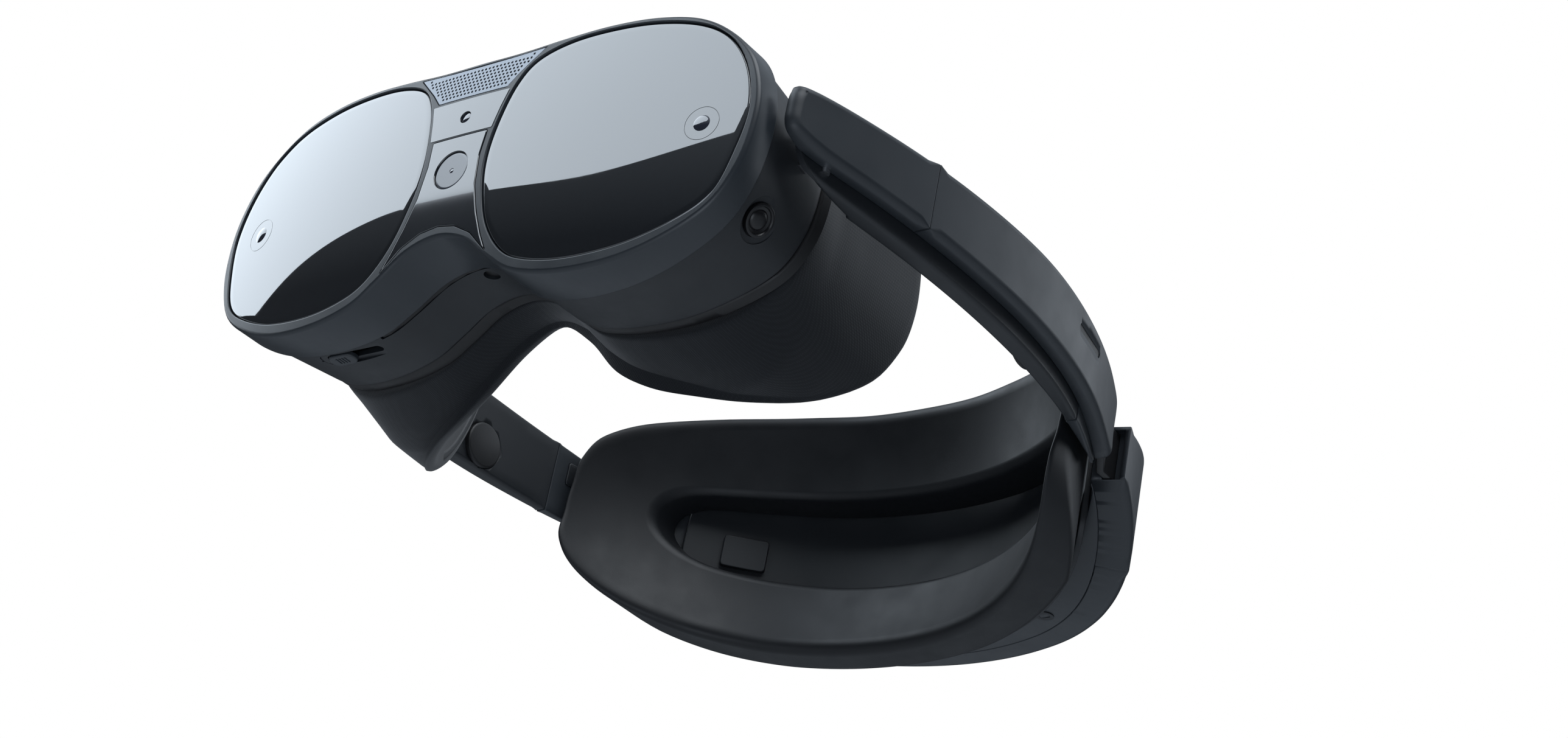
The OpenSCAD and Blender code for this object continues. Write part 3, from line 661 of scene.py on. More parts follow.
pitch_x, pitch_z = 1.3, 1.12
dots = []
for k in range(-5, 8):
    for i in range(-14, 15):
        dots.append([(i + (k % 2) / 2) * pitch_x, 28.4 + k * pitch_z])
dots = np.array(dots)
dots = dots[inside(dots, shifted(ccw(grille_loop), -1.0))]
mesh_grille = plate("front_grille", grille_loop, dome(-1.1), dome(0.35),
                    holes=[circle(x, z, 0.40, 8) for x, z in dots],
                    hole_profile=[[(0, "f", 0), (0, "r", 0)]] * len(dots), rf=0.2, rb=0.1, step=1.3)
piece(mesh_grille, "visor", "grille_metal", "vent_grille")

FORWARD, REARWARD, OUTWARD = [0, -1, 0], [0, 1, 0], [1, 0, 0]
disc_profile = [[5.6, -5], [5.6, 0.65], [5.5, 0.88], [5.25, 1.0], [4.9, 1.0], [0.75, 1.0], [0.65, 0.85],
                [0.1, 0.85]]
centre_cam = turned("centre_camera", disc_profile, [0, 0, 0], FORWARD, 96)
piece(centre_cam, "visor", "camera_disc", "rgb_camera")
pupil = turned("centre_camera_pupil", [[0.62, 0.6], [0.62, 0.88], [0.5, 0.93], [0.05, 0.95]],
               [0, 0, 0], FORWARD, 32)
piece(pupil, "visor", "camera_glass")
sensor = turned("depth_sensor", [[1.7, -2.2], [1.7, 0.35], [1.6, 0.5], [1.4, 0.6], [0.05, 0.6]],
                [0, 0, 16.6], FORWARD, 48)
piece(sensor, "visor", "camera_glass", "depth_window")
for name, s in SIDES:
    x, z = 77.0 * s, 0.6
    y = float(dome(-0.8)(np.array([[x, z]]))[0, 1])
    n = np.array([x, y - (DOME - 0.8), z])
    n /= np.linalg.norm(n)
    at = np.array([x, y, z])
    eye = turned(f"tracking_lens_{name}", [[2.3, -0.6], [2.3, 0.0], [2.1, 0.09], [1.6, 0.2], [1.0, 0.29],
                                           [0.5, 0.33], [0.05, 0.34]], at, n, 48)
    piece(eye, "visor", "camera_glass")
    ring = turned(f"tracking_ring_{name}", [[4.9, -0.5], [4.9, 0.0], [4.87, 0.012], [4.73, 0.012],
                                            [4.7, 0.0], [4.7, -0.5]], at, n, 72)
    piece(ring, "visor", "panel_border")

# ---------------------------------------------------------------- visor body
BODY_Y, REAR_Y, BACK_R, NECK_Y = 16.1, 34.0, 357.0, 46
centre = np.array([0.0, 10.0])


def polar(loop, n=420):
    """Points where rays from centre cross a loop, so that different outlines pair up."""
    loop = np.asarray(loop, float) - centre
    a, b = loop, np.roll(loop, -1, 0)
    out = []
    for t in np.arange(n) * 2 * math.pi / n - math.pi / 2:
        d = np.array([math.cos(t), math.sin(t)])
        den = d[0] * (b[:, 1] - a[:, 1]) - d[1] * (b[:, 0] - a[:, 0])
        den = np.where(np.abs(den) < 1e-12, 1e-12, den)
        r = (a[:, 0] * (b[:, 1] - a[:, 1]) - a[:, 1] * (b[:, 0] - a[:, 0])) / den
        w = (a[:, 0] * d[1] - a[:, 1] * d[0]) / den
        r = r[(w >= -1e-9) & (w <= 1 + 1e-9) & (r > 0)]
        out.append(centre + d * (r.max() if len(r) else 0))
    return np.array(out)


def rear_edge(x):
    return REAR_Y + BACK_R - np.sqrt(BACK_R ** 2 - x ** 2)


def body_outline(off, y):
    """Body outline moved out by off at depth y, a number or one for each point."""
    q = shifted(ccw(frame_loop), -1.2 + off)
    s = (np.minimum(y, NECK_Y) - BODY_Y) / (NECK_Y - BODY_Y)
    return np.stack([q[:, 0] * (1 - 0.055 * s), q[:, 1] * (1 - 0.06 * s)], 1)


def body_row(off, from_front=None, from_rear=None, share=None):
    x = ccw(frame_loop)[:, 0]
    y = np.full(len(x), BODY_Y)
    for _ in range(3):
        end = rear_edge(body_outline(off, y)[:, 0])
        if from_front is not None:
            y = np.full(len(x), BODY_Y + from_front)
        elif from_rear is not None:
            y = end - from_rear
        else:
            y = BODY_Y + 0.4 + share * (end - 1.0 - BODY_Y - 0.4)
    q = body_outline(off, y)
    return np.stack([q[:, 0], y, q[:, 1]], 1)


rows = [body_row(-0.4 + 0.4 * math.sin(t), from_front=0.4 * (1 - math.cos(t))) for t in quarter(3)]
rows += [body_row(0, share=s) for s in np.linspace(0, 1, 16)[1:]]
rows += [body_row(-1 + math.cos(t), from_rear=1 - math.sin(t)) for t in quarter(5)[1:]]
rows += [body_row(-2.2, from_rear=0.0), body_row(-2.4, from_rear=0.2)]
rows += [body_row(-2.4, share=s) for s in np.linspace(1, 0, 8)]
rows += [body_row(-2.4, from_front=0.0)]
shell = skin("body_shell_skin", rows)


def sided(s, a, b):
    """Span a to b across the width, mirrored for side s = -1, lower value first."""
    return min(a * s, b * s), max(a * s, b * s)


def prism(outline, low, high, axis):
    """Closed solid over an outline between two levels along axis."""
    p = ccw(outline)
    order = {"x": (2, 0, 1), "y": (0, 2, 1), "z": (0, 1, 2)}[axis]
    n = len(p)
    verts = np.vstack([np.column_stack([p, np.full(n, level)])[:, order] for level in (low, high)])
    faces = [(i, (i + 1) % n, n + (i + 1) % n, n + i) for i in range(n)]
    faces += [tuple(range(n)), tuple(range(n, 2 * n))]
    return new_object("cutter", verts, faces)


arch = ccw(frame_loop)
start = int(np.argmin(np.linalg.norm(arch - [-31, -35.2], axis=1)))
arch = np.roll(arch, -start, 0)
arch = arch[:int(np.argmin(np.linalg.norm(arch - [31, -35.2], axis=1))) + 1]
tangent = np.gradient(arch, axis=0)
tangent /= np.linalg.norm(tangent, axis=1)[:, None]
out_dir = np.stack([tangent[:, 1], -tangent[:, 0]], 1)
brow_cut = np.vstack([arch + out_dir * 1.0, (arch - out_dir * 2.1)[::-1]])
axis_side = np.array([math.sin(math.radians(122)), 0, math.cos(math.radians(122))])
cutters = [prism(brow_cut, 15.5, 18.1, "y"),
           prism(pill([-53.0, 21], [-35.0, 21], 2.9), -42, -34.4, "z"),
           prism(pill([-52.4, 21], [-35.2, 21], 1.35), -42, -30, "z"),
           prism(circle(0, 21.5, 2.25, 40), -30, -10, "z"),
           prism(circle(-56.3, 21.4, 0.35, 12), -40, -30, "z"),
           prism(round_rect(37.8, 50.2, 21.8, 26.2, 2.0), 30, 50, "z"),
           prism(round_rect(-55.2, -32.8, 21.8, 26.2, 2.0), 30, 50, "z")]
side_at = np.array([84.2, 25.5, -17.4])
for s in (1, -1):
    flank = np.array([s, 1, 1])
    cutters.append(turned("cutter", [[4.6, -8], [4.6, -0.55], [6.3, -0.55], [6.7, 8]], side_at * flank,
                          axis_side * flank, 64))
    cutters.append(prism(round_rect(30.9, 35.1, 0.9, 10.1, 0.6), *sided(s, 84, 100), "x"))
shell = cut(shell, cutters)
piece(shell, "visor", "dark_matte", "body_shell")

side_profile = [[4.5, -6], [4.5, 0.35], [4.4, 0.6], [4.15, 0.72], [3.75, 0.72], [3.55, 0.5], [3.4, 0.1],
                [2.7, -0.1], [2.5, 0.1], [2.2, 0.35], [1.5, 0.55], [0.8, 0.65], [0.05, 0.68]]
for name, s in SIDES:
    flank = np.array([s, 1, 1])
    cam = turned(f"side_camera_ring_{name}", side_profile, side_at * flank, axis_side * flank, 72)
    piece(cam, "visor", "camera_rim", f"side_camera_{name}")


def slab(name, outline, low, high, plane="z", r=0.5, r_low=0.3, seg=4, step=1.2, turn=None, **more):
    """Rounded plate with its visible face at high, over an outline square to plane."""
    def at(level):
        def f(p):
            w = np.full(len(p), float(level))
            q = {"z": np.stack([p[:, 0], p[:, 1], w], 1), "x": np.stack([w, p[:, 0], p[:, 1]], 1),
                 "y": np.stack([p[:, 0], w, p[:, 1]], 1)}[plane]
            return turn(q) if turn else q
        return f
    return plate(name, outline, at(high), at(low), rf=r, rb=r_low, seg=seg, step=step, **more)


knob = slab("knob_top", pill([-50.1, 21], [-45.9, 21], 2.45), -34.5, -35.9, r=0.5, r_low=0.1)
stem = slab("knob_stem", round_rect(-50, -46, 19.95, 22.05, 0.4), -30.9, -34.55, r=0.1, r_low=0.1)
shoe = slab("knob_shoe", round_rect(-52, -44, 18.8, 23.2, 0.4), -30.4, -31.6, r=0.1, r_low=0.1)
ribs = [slab("knob_rib", round_rect(x - 0.25, x + 0.25, 19.7, 22.3, 0.2), -35.8, -36.1, r=0.1, r_low=0.05)
        for x in (-49.5, -48.5, -47.5, -46.5)]
knob = join("spacing_knob_cap", [knob, stem, shoe] + ribs)
piece(knob, "spacing_knob", "charcoal_satin", "ipd_slider")
KEY = (32.6, 36.2)
power = slab("power_key", round_rect(38, 50, 22, 26, 1.8), *KEY, r=0.7, r_low=0.2)
piece(power, "power", "charcoal_satin", "power_button")
rocker = slab("volume_key", round_rect(-55, -33, 22, 26, 1.8), *KEY, r=0.7, r_low=0.2)
piece(rocker, "volume", "charcoal_satin", "volume_rocker")

# ---------------------------------------------------------------- optics
LENS_R, LENS_CURVE = 19.8, 60


def lens_depth(r):
    """How far the lens face falls back at radius r."""
    return LENS_CURVE - math.sqrt(LENS_CURVE ** 2 - r ** 2)


reach = [LENS_R * math.cos(a) for a in quarter(13)]
bulge = [[x, 31.9 - lens_depth(x)] for x in reach]
hollow = [[x, 23.6 + lens_depth(x)] for x in reach[::-1]]
ring_profile = [[20.94, 25], [20.94, 30.1], [22.3, 30.15], [22.6, 30.4], [22.6, 31.8], [22.3, 32.1],
                [21.9, 32.2], [19.4, 32.2], [18.8, 31.9], [18.6, 31.4], [19.85, 31.2], [19.85, 25]]
for name, s in SIDES:
    mid = [34 * s, 0, 2]
    lens = turned(f"eyepiece_lens_{name}", hollow + bulge, mid, REARWARD, 96, smooth_angle=30)
    piece(lens, f"focus_{name}", "clear_lens", f"eyepiece_{name}")
    grip = turned(f"focus_ring_{name}", ring_profile, mid, REARWARD, 144,
                  ripple=lambda k, a: np.where((k in (2, 3, 4, 5)) & (np.cos(a * 24) > 0.75), -0.35, 0.0))
    # a ring, so its two end discs go
    bm = bmesh.new()
    bm.from_mesh(grip.data)
    hubs = sorted(bm.verts, key=lambda v: -len(v.link_edges))[:2]
    bmesh.ops.delete(bm, geom=hubs, context="VERTS")
    edges = [e for e in bm.edges if e.is_boundary]
    bmesh.ops.bridge_loops(bm, edges=edges)
    bmesh.ops.recalc_face_normals(bm, faces=bm.faces)
    bm.to_mesh(grip.data)
    bm.free()
    grip.data.shade_smooth()
    grip.data.set_sharp_from_angle(angle=math.radians(35))
    piece(grip, f"focus_{name}", "black_plastic", f"diopter_ring_{name}")

# ---------------------------------------------------------------- face gasket
CUSHION_GAP, RIM, EYE_RIM = 4.3, 4.0, 3.0
eye_ring = polar(smooth(both(EYE)))
face_ring = polar(smooth(both(GASKET)))


def body_polar(off, y=40):
    return polar(body_outline(off, y))


def face_y(p):
    """Depth of the cushion's face, a leaning drum that the wearer's face rests on."""
    lean, radius, axis_y = math.radians(10), 88, 145
    sag = np.sqrt(radius ** 2 - np.clip(p[:, 0], 1 - radius, radius - 1) ** 2)
    return axis_y + (p[:, 1] * math.sin(lean) - sag) / math.cos(lean)


neck = body_polar(-1.0, 42)
inner_frame = body_polar(-0.4, 40)


def frame_ring(q, d):
    return np.stack([q[:, 0], rear_edge(q[:, 0]) + d, q[:, 1]], 1)


def toward(q, other, d):
    """Points of q moved by d towards the paired points of other."""
    v = other - q
    return q + v / np.maximum(np.linalg.norm(v, axis=1), 1e-9)[:, None] * d


carrier_rows = [frame_ring(toward(inner_frame, eye_ring, 0.4), 0.15), frame_ring(inner_frame, 0.5),
                frame_ring(inner_frame, 3.6), frame_ring(toward(inner_frame, eye_ring, 0.4), 4.0),
                frame_ring(toward(eye_ring, inner_frame, 0.4), 4.0), frame_ring(eye_ring, 3.6),
                frame_ring(eye_ring, 0.5), frame_ring(toward(eye_ring, inner_frame, 0.4), 0.15)]
gasket_carrier = skin("gasket_carrier", carrier_rows, smooth_angle=40)
piece(gasket_carrier, "gasket", "black_plastic", "gasket_frame")


def flare(y):
    return np.interp(y, [33, 40, 46, 54, 62, 75, 108], [0, 0.16, 0.35, 0.62, 0.85, 0.96, 1.0])[:, None]


def cover_row(share, inset=0.0, puff=0.0):
    q = face_ring
    for _ in range(6):
        y0 = rear_edge(q[:, 0]) + CUSHION_GAP
        y1 = face_y(q) - RIM
        y = y0 + share * (y1 - y0)
        q = neck * (1 - flare(y)) + face_ring * flare(y)
    q = toward(q, eye_ring, inset - puff * math.sin(math.pi * share))
    return np.stack([q[:, 0], y, q[:, 1]], 1)


cushion_rows = [cover_row(0, 1.2), cover_row(0.004, 0.5), cover_row(0.02, 0.1)]
cushion_rows += [cover_row(s, 0, 0.6) for s in np.linspace(0.06, 1, 22)]
for t in np.linspace(0, math.pi / 2, 8)[1:]:
    q = toward(face_ring, eye_ring, RIM * (1 - math.cos(t)))
    cushion_rows.append(np.stack([q[:, 0], face_y(q) - RIM + RIM * math.sin(t), q[:, 1]], 1))
gap = np.linalg.norm(eye_ring - face_ring, axis=1)
for w in (0.3, 0.5, 0.7):
    q = face_ring * (1 - w) + eye_ring * w
    q = np.where((gap > 2 * RIM)[:, None], q, toward(face_ring, eye_ring, RIM))
    cushion_rows.append(np.stack([q[:, 0], face_y(q), q[:, 1]], 1))
for t in np.linspace(0, math.pi / 2, 6):
    q = toward(eye_ring, face_ring, EYE_RIM * (1 - math.sin(t)))
    cushion_rows.append(np.stack([q[:, 0], face_y(q) - EYE_RIM + EYE_RIM * math.cos(t), q[:, 1]], 1))
for w in np.linspace(0, 1, 12)[1:]:
    y0, y1 = face_y(eye_ring) - EYE_RIM, rear_edge(eye_ring[:, 0]) + CUSHION_GAP
    cushion_rows.append(np.stack([eye_ring[:, 0], y0 + w * (y1 - y0), eye_ring[:, 1]], 1))
cushion = skin("face_cushion", cushion_rows)
piece(cushion, "gasket", "knit_fabric", "gasket_cushion")

# ---------------------------------------------------------------- arms
REACH, ARC_Y, FRONT_R, REAR_R, REAR_IN_R = 109.3, 105.0, 308.0, 170.0, 252.0


def arm_x(y, d, core=False):
    front = REACH - FRONT_R + np.sqrt((FRONT_R - d) ** 2 - (y - ARC_Y) ** 2)
    r = REAR_IN_R if core else REAR_R - d
    base = REACH - d - REAR_IN_R if core else REACH - REAR_R
    rear = base + np.sqrt(np.maximum(r ** 2 - (y - ARC_Y) ** 2, 1))
    x = np.where(y < ARC_Y, front, rear)
    return np.where(y < 47, np.maximum(x, 93.25), x)


def arm_face(d, core=False, least=None):
    def f(p):
        x = arm_x(p[:, 0], d, core)
        if least is not None:
            x = np.minimum(x, arm_x(p[:, 0], least) - 0.7)
        return np.stack([x, p[:, 0], p[:, 1]], 1)
    return f


cover_side = resample(smooth(COVER_SIDE), 0.8)
core_side = resample(smooth(CORE_SIDE), 0.8)


def edge_radius(loop, seam_values, r, tight=0.25):
    """Rounding r for each point, tight near a straight seam."""
    d = np.min([np.abs(loop[:, 0] - v) for v in seam_values], axis=0)
    return tight + (r - tight) * np.clip(d / (1.6 * r), 0, 1)


def arm_plate(name, loop, d0, d1, r, seams, core=False, least=None, inner_r=0.4):
    loop = ccw(resample(loop, 0.6))
    radius = edge_radius(loop, seams, r)
    rows = fillet(radius, 7) + rear_fillet(np.minimum(inner_r, radius), 4)
    return plate(name, loop, arm_face(d0), arm_face(d1, core, least), profile=rows)


def turn_z(x, y, z, deg):
    a = math.radians(deg)
    return lambda q: np.stack([x + q[:, 0] * math.cos(a) - q[:, 1] * math.sin(a),
                               y + q[:, 0] * math.sin(a) + q[:, 1] * math.cos(a), z + q[:, 2]], 1)


front_cover = arm_plate("arm_cover_left", clip(cover_side, 0, 64, True), 0, 5, 2.2, [64])
core = arm_plate("arm_core_left", clip(core_side, 0, 152, True), 5.1, 11, 1.2, [152], core=True, least=5.1,
                 inner_r=2.4)
well = [turned("cutter", [[5.1, 0], [5.1, -12]], [100.4, 96, 4], OUTWARD, 48),
        turned("cutter", [[7.1, 0], [7.1, -12]], [98.6, 124, -1], OUTWARD, 64)]
core = cut(core, well)
rear_skin = arm_plate("rear_arm_skin", clip(cover_side, 0, 64.2, False), 0, 5, 2.2, [64.2])
rear_core = arm_plate("rear_arm_core", clip(core_side, 0, 152.2, False), 4.9, 11, 0.8, [152.2], core=True,
                      least=4.9, inner_r=2.4)
slot_turn = turn_z(105.2, 142.5, 8.6, 12.3)
slot_cut = slab("cutter", pill([-7, 0], [7, 0], 1.3), -1.2, 6, "x", r=0.05, r_low=0.05, turn=slot_turn)
rear_skin = cut(rear_skin, [slot_cut])
button_turn = turn_z(92, 162, 5.4, 12.7)
button_cut = slab("cutter", round_rect(-5.15, 5.15, -3.85, 3.85, 0.9), 3.6, -8, "x", r=0.05, r_low=0.05,
                  turn=button_turn)
strap_plan = np.array([[93.2, 169.5], [91.2, 176.5], [85.7, 185.6], [85.6, 195.6], [83.4, 195.6],
                       [83.4, 184.9], [89, 175.6], [91, 169]], float)
strap_cut = prism(shifted(ccw(strap_plan), 0.12), -7.1, 8.1, "z")
rear_core = cut(rear_core, [button_cut, strap_cut])
rear_arm = join("rear_arm_left", [rear_skin, rear_core])
button = slab("release_key_left", round_rect(-5, 5, -3.7, 3.7, 0.8), 2.2, -0.7, "x", r=0.35, r_low=0.2,
              turn=button_turn)
strap = slab("strap_band_left", resample(strap_plan, 0.6), -7, 8, "z", r=0.4, r_low=0.4)
port_profile = [[5.0, 3.1], [5.0, 0.35], [4.75, 0.1], [4.4, 0.0], [3.5, 0.25], [0.1, 0.25]]
disc = turned("speaker_port_left", port_profile, [97.2, 96, 4], OUTWARD, 64)
cap = turned("speaker_cap_left", [[7.0, 2.1], [7.0, 0.4], [6.7, 0.1], [6.3, 0.0], [0.1, 0.0]],
             [96.4, 124, -1], OUTWARD, 72)
ports = join("speaker_ports_left", [disc, cap])
inlay = slab("slot_inlay_left", pill([-7, 0], [7, 0], 1.25), -3.0, -0.6, "x", r=0.3, r_low=0.1,
             turn=slot_turn)
pairs = [(front_cover, "arm_cover", "visor", "charcoal_satin", "temple_cover"),
         (core, "arm_core", "visor", "dark_matte", "temple"),
         (rear_arm, "rear_arm", "visor", "charcoal_satin", "cradle_arm"),
         (button, "release_key", "release", "dark_matte", "release_button"),
         (strap, "strap_band", "visor", "strap_black", "strap"),
         (ports, "speaker_ports", "visor", "black_plastic", "speaker"),
         (inlay, "slot_inlay", "visor", "black_plastic", None)]
for obj, name, body, mat, node in pairs:
    other = mirrored(obj, f"{name}_right")
    for o, side in ((obj, "left"), (other, "right")):
        b = f"{body}_{side}" if body == "release" else body
        piece(o, b, mat, *([f"{node}_{side}"] if node else []))

# ---------------------------------------------------------------- rear cradle
HOUSE_MID, HOUSE_R = 166.0, 93.0
PAD_MID, PAD_R = 137.0, 92.9
PLATE_IN, PLATE_OUT = 93.4, 95.4
HEAD_MID, HEAD_R = 120.0, 96.0
DIAL_AT = [0, 0, 2]


def wrap(outline, r):
    """An [x, z] outline as [arc length, z] on a cylinder of radius r."""
    p = np.asarray(outline, float)
    return np.stack([r * np.arcsin(np.clip(p[:, 0] / r, -0.999, 0.999)), p[:, 1]], 1)


def drum(mid, r, base):
    def f(p):
        a = p[:, 0] / base
        rr = r(a, p[:, 1]) if callable(r) else r
        return np.stack([rr * np.sin(a), mid + rr * np.cos(a), p[:, 1]], 1)
    return f


def house_inner(a, z):
    """Distance from the housing's axis to its hollow front, never past the outer shell."""
    shift = HOUSE_MID - PAD_MID
    return np.minimum(-shift * np.cos(a)
                      + np.sqrt((shift * np.cos(a)) ** 2 + (PLATE_OUT + 0.2) ** 2 - shift ** 2), 82.4)


def limit(deg):
    return HOUSE_R * math.radians(deg)


EAR_END, EAR_START, LID_END = limit(75.0), limit(52.8), limit(52.65)
house_loop = wrap(smooth(both(HOUSING)), HOUSE_R)
block = plate("house_block", resample(between(house_loop, 0, -limit(73.5), limit(73.5)), 0.8),
              drum(HOUSE_MID, 82.95, HOUSE_R), drum(HOUSE_MID, house_inner, HOUSE_R), rf=0.3, step=3.0)


def shell_part(name, loop, seams, outer_r, inner_r, r):
    loop = ccw(resample(loop, 0.8))
    rows = fillet(edge_radius(loop, seams, r), 8) + [(0, "r", 0.25), (-0.25, "r", 0)]
    return plate(name, loop, drum(HOUSE_MID, outer_r, HOUSE_R), drum(HOUSE_MID, inner_r, HOUSE_R),
                 profile=rows, step=3.0)


ear = between(house_loop, 0, EAR_START, EAR_END)
ears = [shell_part("house_ear", ear, [EAR_START, EAR_END], HOUSE_R, 82.9, 2.6)]
ears.append(mirrored(ears[0], "house_ear_far"))
for e, s in zip(ears, (1, -1)):
    pocket = prism(round_rect(*sided(s, 83.2, 85.8), 180, 200.0, 0.4), -7.2, 8.2, "z")
    mouth = prism(round_rect(*sided(s, 83.2, 88.4), 178, 191.2, 0.4), -7.3, 8.3, "z")
    cut(e, [pocket, mouth])
house = join("cradle_housing", [block] + ears)
piece(house, "cradle", "charcoal_satin", "battery_housing")
lid = shell_part("cradle_lid", between(house_loop, 0, -LID_END, LID_END), [LID_END, -LID_END],
                 HOUSE_R, 83.05, 3.4)
lid = cut(lid, [turned("cutter", [[17.4, 255.4], [17.4, 270]], DIAL_AT, REARWARD, 96),
                turned("cutter", [[4.1, 240], [4.1, 260]], DIAL_AT, REARWARD, 48)])
piece(lid, "cradle", "charcoal_satin", "battery_cover")

pad_loop = wrap(smooth(both(PAD)), PAD_R)
slot_loop = wrap(smooth(both(SLOT)), PAD_R)


def head_sphere(x, z, radius):
    """Depth of a sphere about the middle of the head."""
    return HEAD_MID + np.sqrt(np.maximum(radius ** 2 - x ** 2 - z ** 2, 1))


def pad_front(p):
    """Head-side face of the pad."""
    x = PAD_R * np.sin(p[:, 0] / PAD_R)
    return np.stack([x, head_sphere(x, p[:, 1], HEAD_R), p[:, 1]], 1)


def pad_rear(p):
    """Back of the pad, a drum rounded off by a larger sphere."""
    x = PAD_R * np.sin(p[:, 0] / PAD_R)
    y = np.minimum(PAD_MID + np.sqrt(np.maximum(PAD_R ** 2 - x ** 2, 0)),
                   head_sphere(x, p[:, 1], PAD_MID + PAD_R - HEAD_MID))
    return np.stack([x, y, p[:, 1]], 1)


pl = ccw(resample(pad_loop, 1.0))
thick = pad_rear(pl)[:, 1] - pad_front(pl)[:, 1]
pad_rows = fillet(np.minimum(5.0, 0.62 * thick), 9) + rear_fillet(np.minimum(2.5, 0.33 * thick), 6)
hole_rows = fillet(2.6, 8) + [(0, "r", 1.0), (-0.3, "r", 0.3), (-1.0, "r", 0)]
head_pad = plate("head_pad", pl, pad_front, pad_rear,
                 holes=[resample(slot_loop, 0.8)], profile=pad_rows, hole_profile=[hole_rows], step=2.4)
piece(head_pad, "pad", "pad_skin", "rear_pad")

plate_loop = wrap(shifted(ccw(resample(smooth(both(PAD)), 1.0)), -9) * [0.93, 1], PLATE_OUT)
plate_end = PLATE_OUT * math.radians(56)
plate_loop = between(plate_loop, 0, -plate_end, plate_end)
mount_plate = plate("pad_mount_plate", resample(plate_loop, 0.9), drum(PAD_MID, PLATE_IN, PLATE_OUT),
                    drum(PAD_MID, PLATE_OUT, PLATE_OUT), rf=0.4, rb=0.4, step=3.0)
piece(mount_plate, "cradle", "dark_matte", "pad_carrier")
tabs = []
for s in (1, -1):
    ends = (PAD_R * math.asin(v / PAD_R) for v in (54, 65))
    tab = round_rect(*sided(s, *ends), -8, 2.6, 1.2)
    tabs.append(plate("tab", tab, drum(PAD_MID, PAD_R - 1.2, PAD_R), drum(PAD_MID, PAD_R + 0.4, PAD_R),
                      rf=0.4, rb=0.1, step=2.0))
tabs = join("pad_tab_pair", tabs)
piece(tabs, "cradle", "dark_matte", "pad_tabs")

wheel_profile = [[4.0, 252.0], [4.0, 255.7], [16.4, 255.8], [17.0, 256.2], [17.0, 261.0], [16.7, 261.6],
                 [16.1, 262.0], [14.2, 262.0], [13.4, 261.7], [13.0, 261.2], [12.4, 261.0], [0.2, 261.0]]
GRIPS = 36


def wheel_grips(row, angle):
    """Shallow notches round the wheel's rim."""
    return np.where(row in (3, 4, 5), -0.55 * np.clip(np.cos(angle * GRIPS) * 2 - 1, 0, 1), 0.0)


dial = turned("fit_wheel", wheel_profile, DIAL_AT, REARWARD, 288, ripple=wheel_grips)
gear = []
for k in range(48):
    reach, turn = (6.9 if k % 4 in (0, 1) else 4.9), k * math.pi / 24 - 0.06
    gear.append([reach * math.cos(turn), reach * math.sin(turn) + DIAL_AT[2]])
pinion = slab("pinion", np.array(gear), 250, 252.05, "y", r=0.05, r_low=0.05, seg=1)
dial = join("fit_wheel_and_pinion", [dial, pinion])
piece(dial, "dial", "charcoal_satin", "fit_dial")

# ---------------------------------------------------------------- stage
def emission(name, colour, strength):
    m = bpy.data.materials.new(name)
    m.use_nodes = True
    m.node_tree.nodes.clear()
    e = m.node_tree.nodes.new("ShaderNodeEmission")
    put(e, {"Color": (*colour, 1), "Strength": strength})
    o = m.node_tree.nodes.new("ShaderNodeOutputMaterial")
    m.node_tree.links.new(e.outputs[0], o.inputs["Surface"])
    return m


def area(name, at, target, size, power, colour):
    data = bpy.data.lights.new(name, "AREA")
    data.shape = "RECTANGLE"
    data.size = data.size_y = size
    data.energy = power
    data.color = colour
    o = placed(name, data)
    o.location = at
    o.rotation_mode = "QUATERNION"
    o.rotation_quaternion = (Vector(target) - Vector(at)).to_track_quat("-Z", "Y")
    o.visible_camera = False
    return o


world = bpy.data.worlds.new("studio")
bpy.context.scene.world = world
world.use_nodes = True
wt = world.node_tree
wt.nodes.clear()
wout = wt.nodes.new("ShaderNodeOutputWorld")
bg_seen = wt.nodes.new("ShaderNodeBackground")
put(bg_seen, {"Color": (1, 1, 1, 1), "Strength": 1.0})
bg_light = wt.nodes.new("ShaderNodeBackground")
bg_light.inputs["Strength"].default_value = 1.0
path = wt.nodes.new("ShaderNodeLightPath")
mixer = wt.nodes.new("ShaderNodeMixShader")
wt.links.new(path.outputs["Is Camera Ray"], mixer.inputs["Fac"])
wt.links.new(bg_light.outputs[0], mixer.inputs[1])
wt.links.new(bg_seen.outputs[0], mixer.inputs[2])
wt.links.new(mixer.outputs[0], wout.inputs["Surface"])
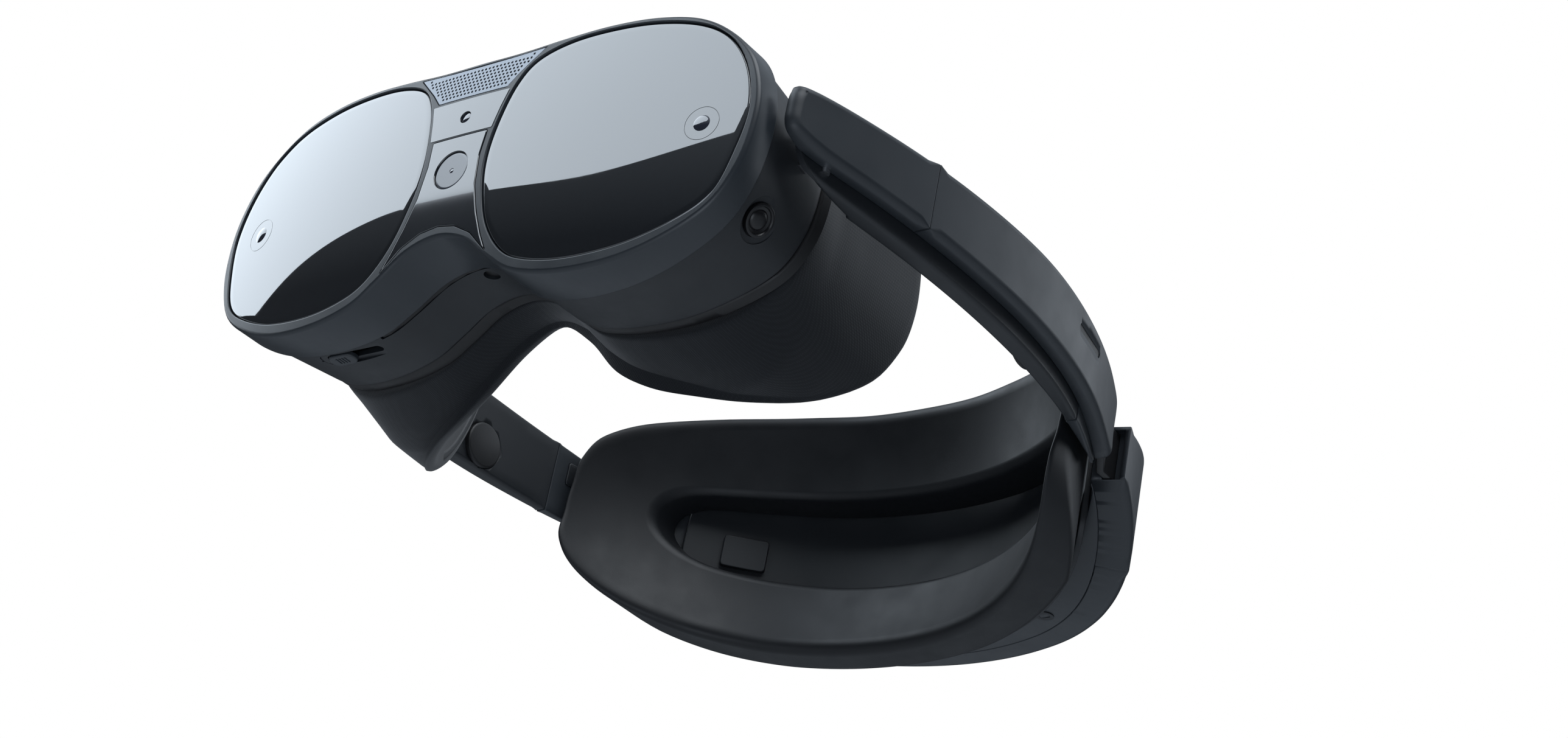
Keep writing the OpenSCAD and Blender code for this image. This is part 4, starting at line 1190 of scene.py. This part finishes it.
# light from above, dimmer below
tc = wt.nodes.new("ShaderNodeTexCoord")
sep = wt.nodes.new("ShaderNodeSeparateXYZ")
wt.links.new(tc.outputs["Generated"], sep.inputs[0])
ramp = wt.nodes.new("ShaderNodeValToRGB")
ramp.color_ramp.elements[0].position = 0.70
ramp.color_ramp.elements[0].color = (0.045, 0.05, 0.057, 1)
ramp.color_ramp.elements[1].position = 0.95
ramp.color_ramp.elements[1].color = (0.55, 0.62, 0.70, 1)
mr = wt.nodes.new("ShaderNodeMapRange")
put(mr, {"From Min": -1, "From Max": 1})
wt.links.new(sep.outputs["Z"], mr.inputs["Value"])
wt.links.new(mr.outputs[0], ramp.inputs[0])
wt.links.new(ramp.outputs[0], bg_light.inputs["Color"])

floor_mesh = bpy.data.meshes.new("floor")
floor_mesh.from_pydata([(-8, -8, 0), (8, -8, 0), (8, 8, 0), (-8, 8, 0)], [], [(0, 1, 2, 3)])
floor = placed("floor", floor_mesh)
floor.location = (0, 0.1, -1.6)
fm, ft, fb, fc = nodes_of("floor_paint")
ft.links.new(blend_colours(ft, noise(ft, fc, 3), (0.80, 0.80, 0.81), (0.86, 0.86, 0.86)),
             fb.inputs["Base Color"])
fb.inputs["Roughness"].default_value = 0.9
floor.data.materials.append(fm)

TARGET = (0, 0.05, 0)
bpy.context.scene.view_settings.view_transform = "Standard"
bpy.context.scene.view_settings.look = "None"


# a wide softbox high to the wearer's right front, its lower edge curved: the panels mirror that edge
edge = [[2.6, 2.9], [1.9, 2.3], [1.35, 1.93], [0.7, 1.64], [0, 1.56], [-0.55, 1.53], [-1.0, 1.43],
        [-1.3, 1.22], [-1.6, 0.95], [-2.0, 0.6]]
corners = smooth(edge + [[-3.6, 0.9], [-3.6, 4.6], [2.6, 4.6]], 10)
side, away = np.array([0.7071, -0.7071, 0]), np.array([-2.12, -2.12, 0])
soft_mesh = bpy.data.meshes.new("front_softbox")
soft_mesh.from_pydata([tuple(away + side * u + np.array([0, 0, h])) for u, h in corners], [],
                      [tuple(range(len(corners)))])
front_card = placed("front_softbox", soft_mesh)
glow = emission("softbox_glow", (0.68, 0.76, 0.84), 3.7)
front_card.data.materials.append(glow)
front_card.visible_camera = False
front_card.visible_diffuse = False
area("key", (0.9, -0.4, 1.6), TARGET, 1.4, 20, (0.90, 0.95, 1.0))
area("rim", (0.8, 1.6, 0.9), TARGET, 1.2, 6, (0.85, 0.92, 1.0))
area("fill", (0.9, -1.3, -0.9), TARGET, 1.2, 6, (0.8, 0.88, 1.0))
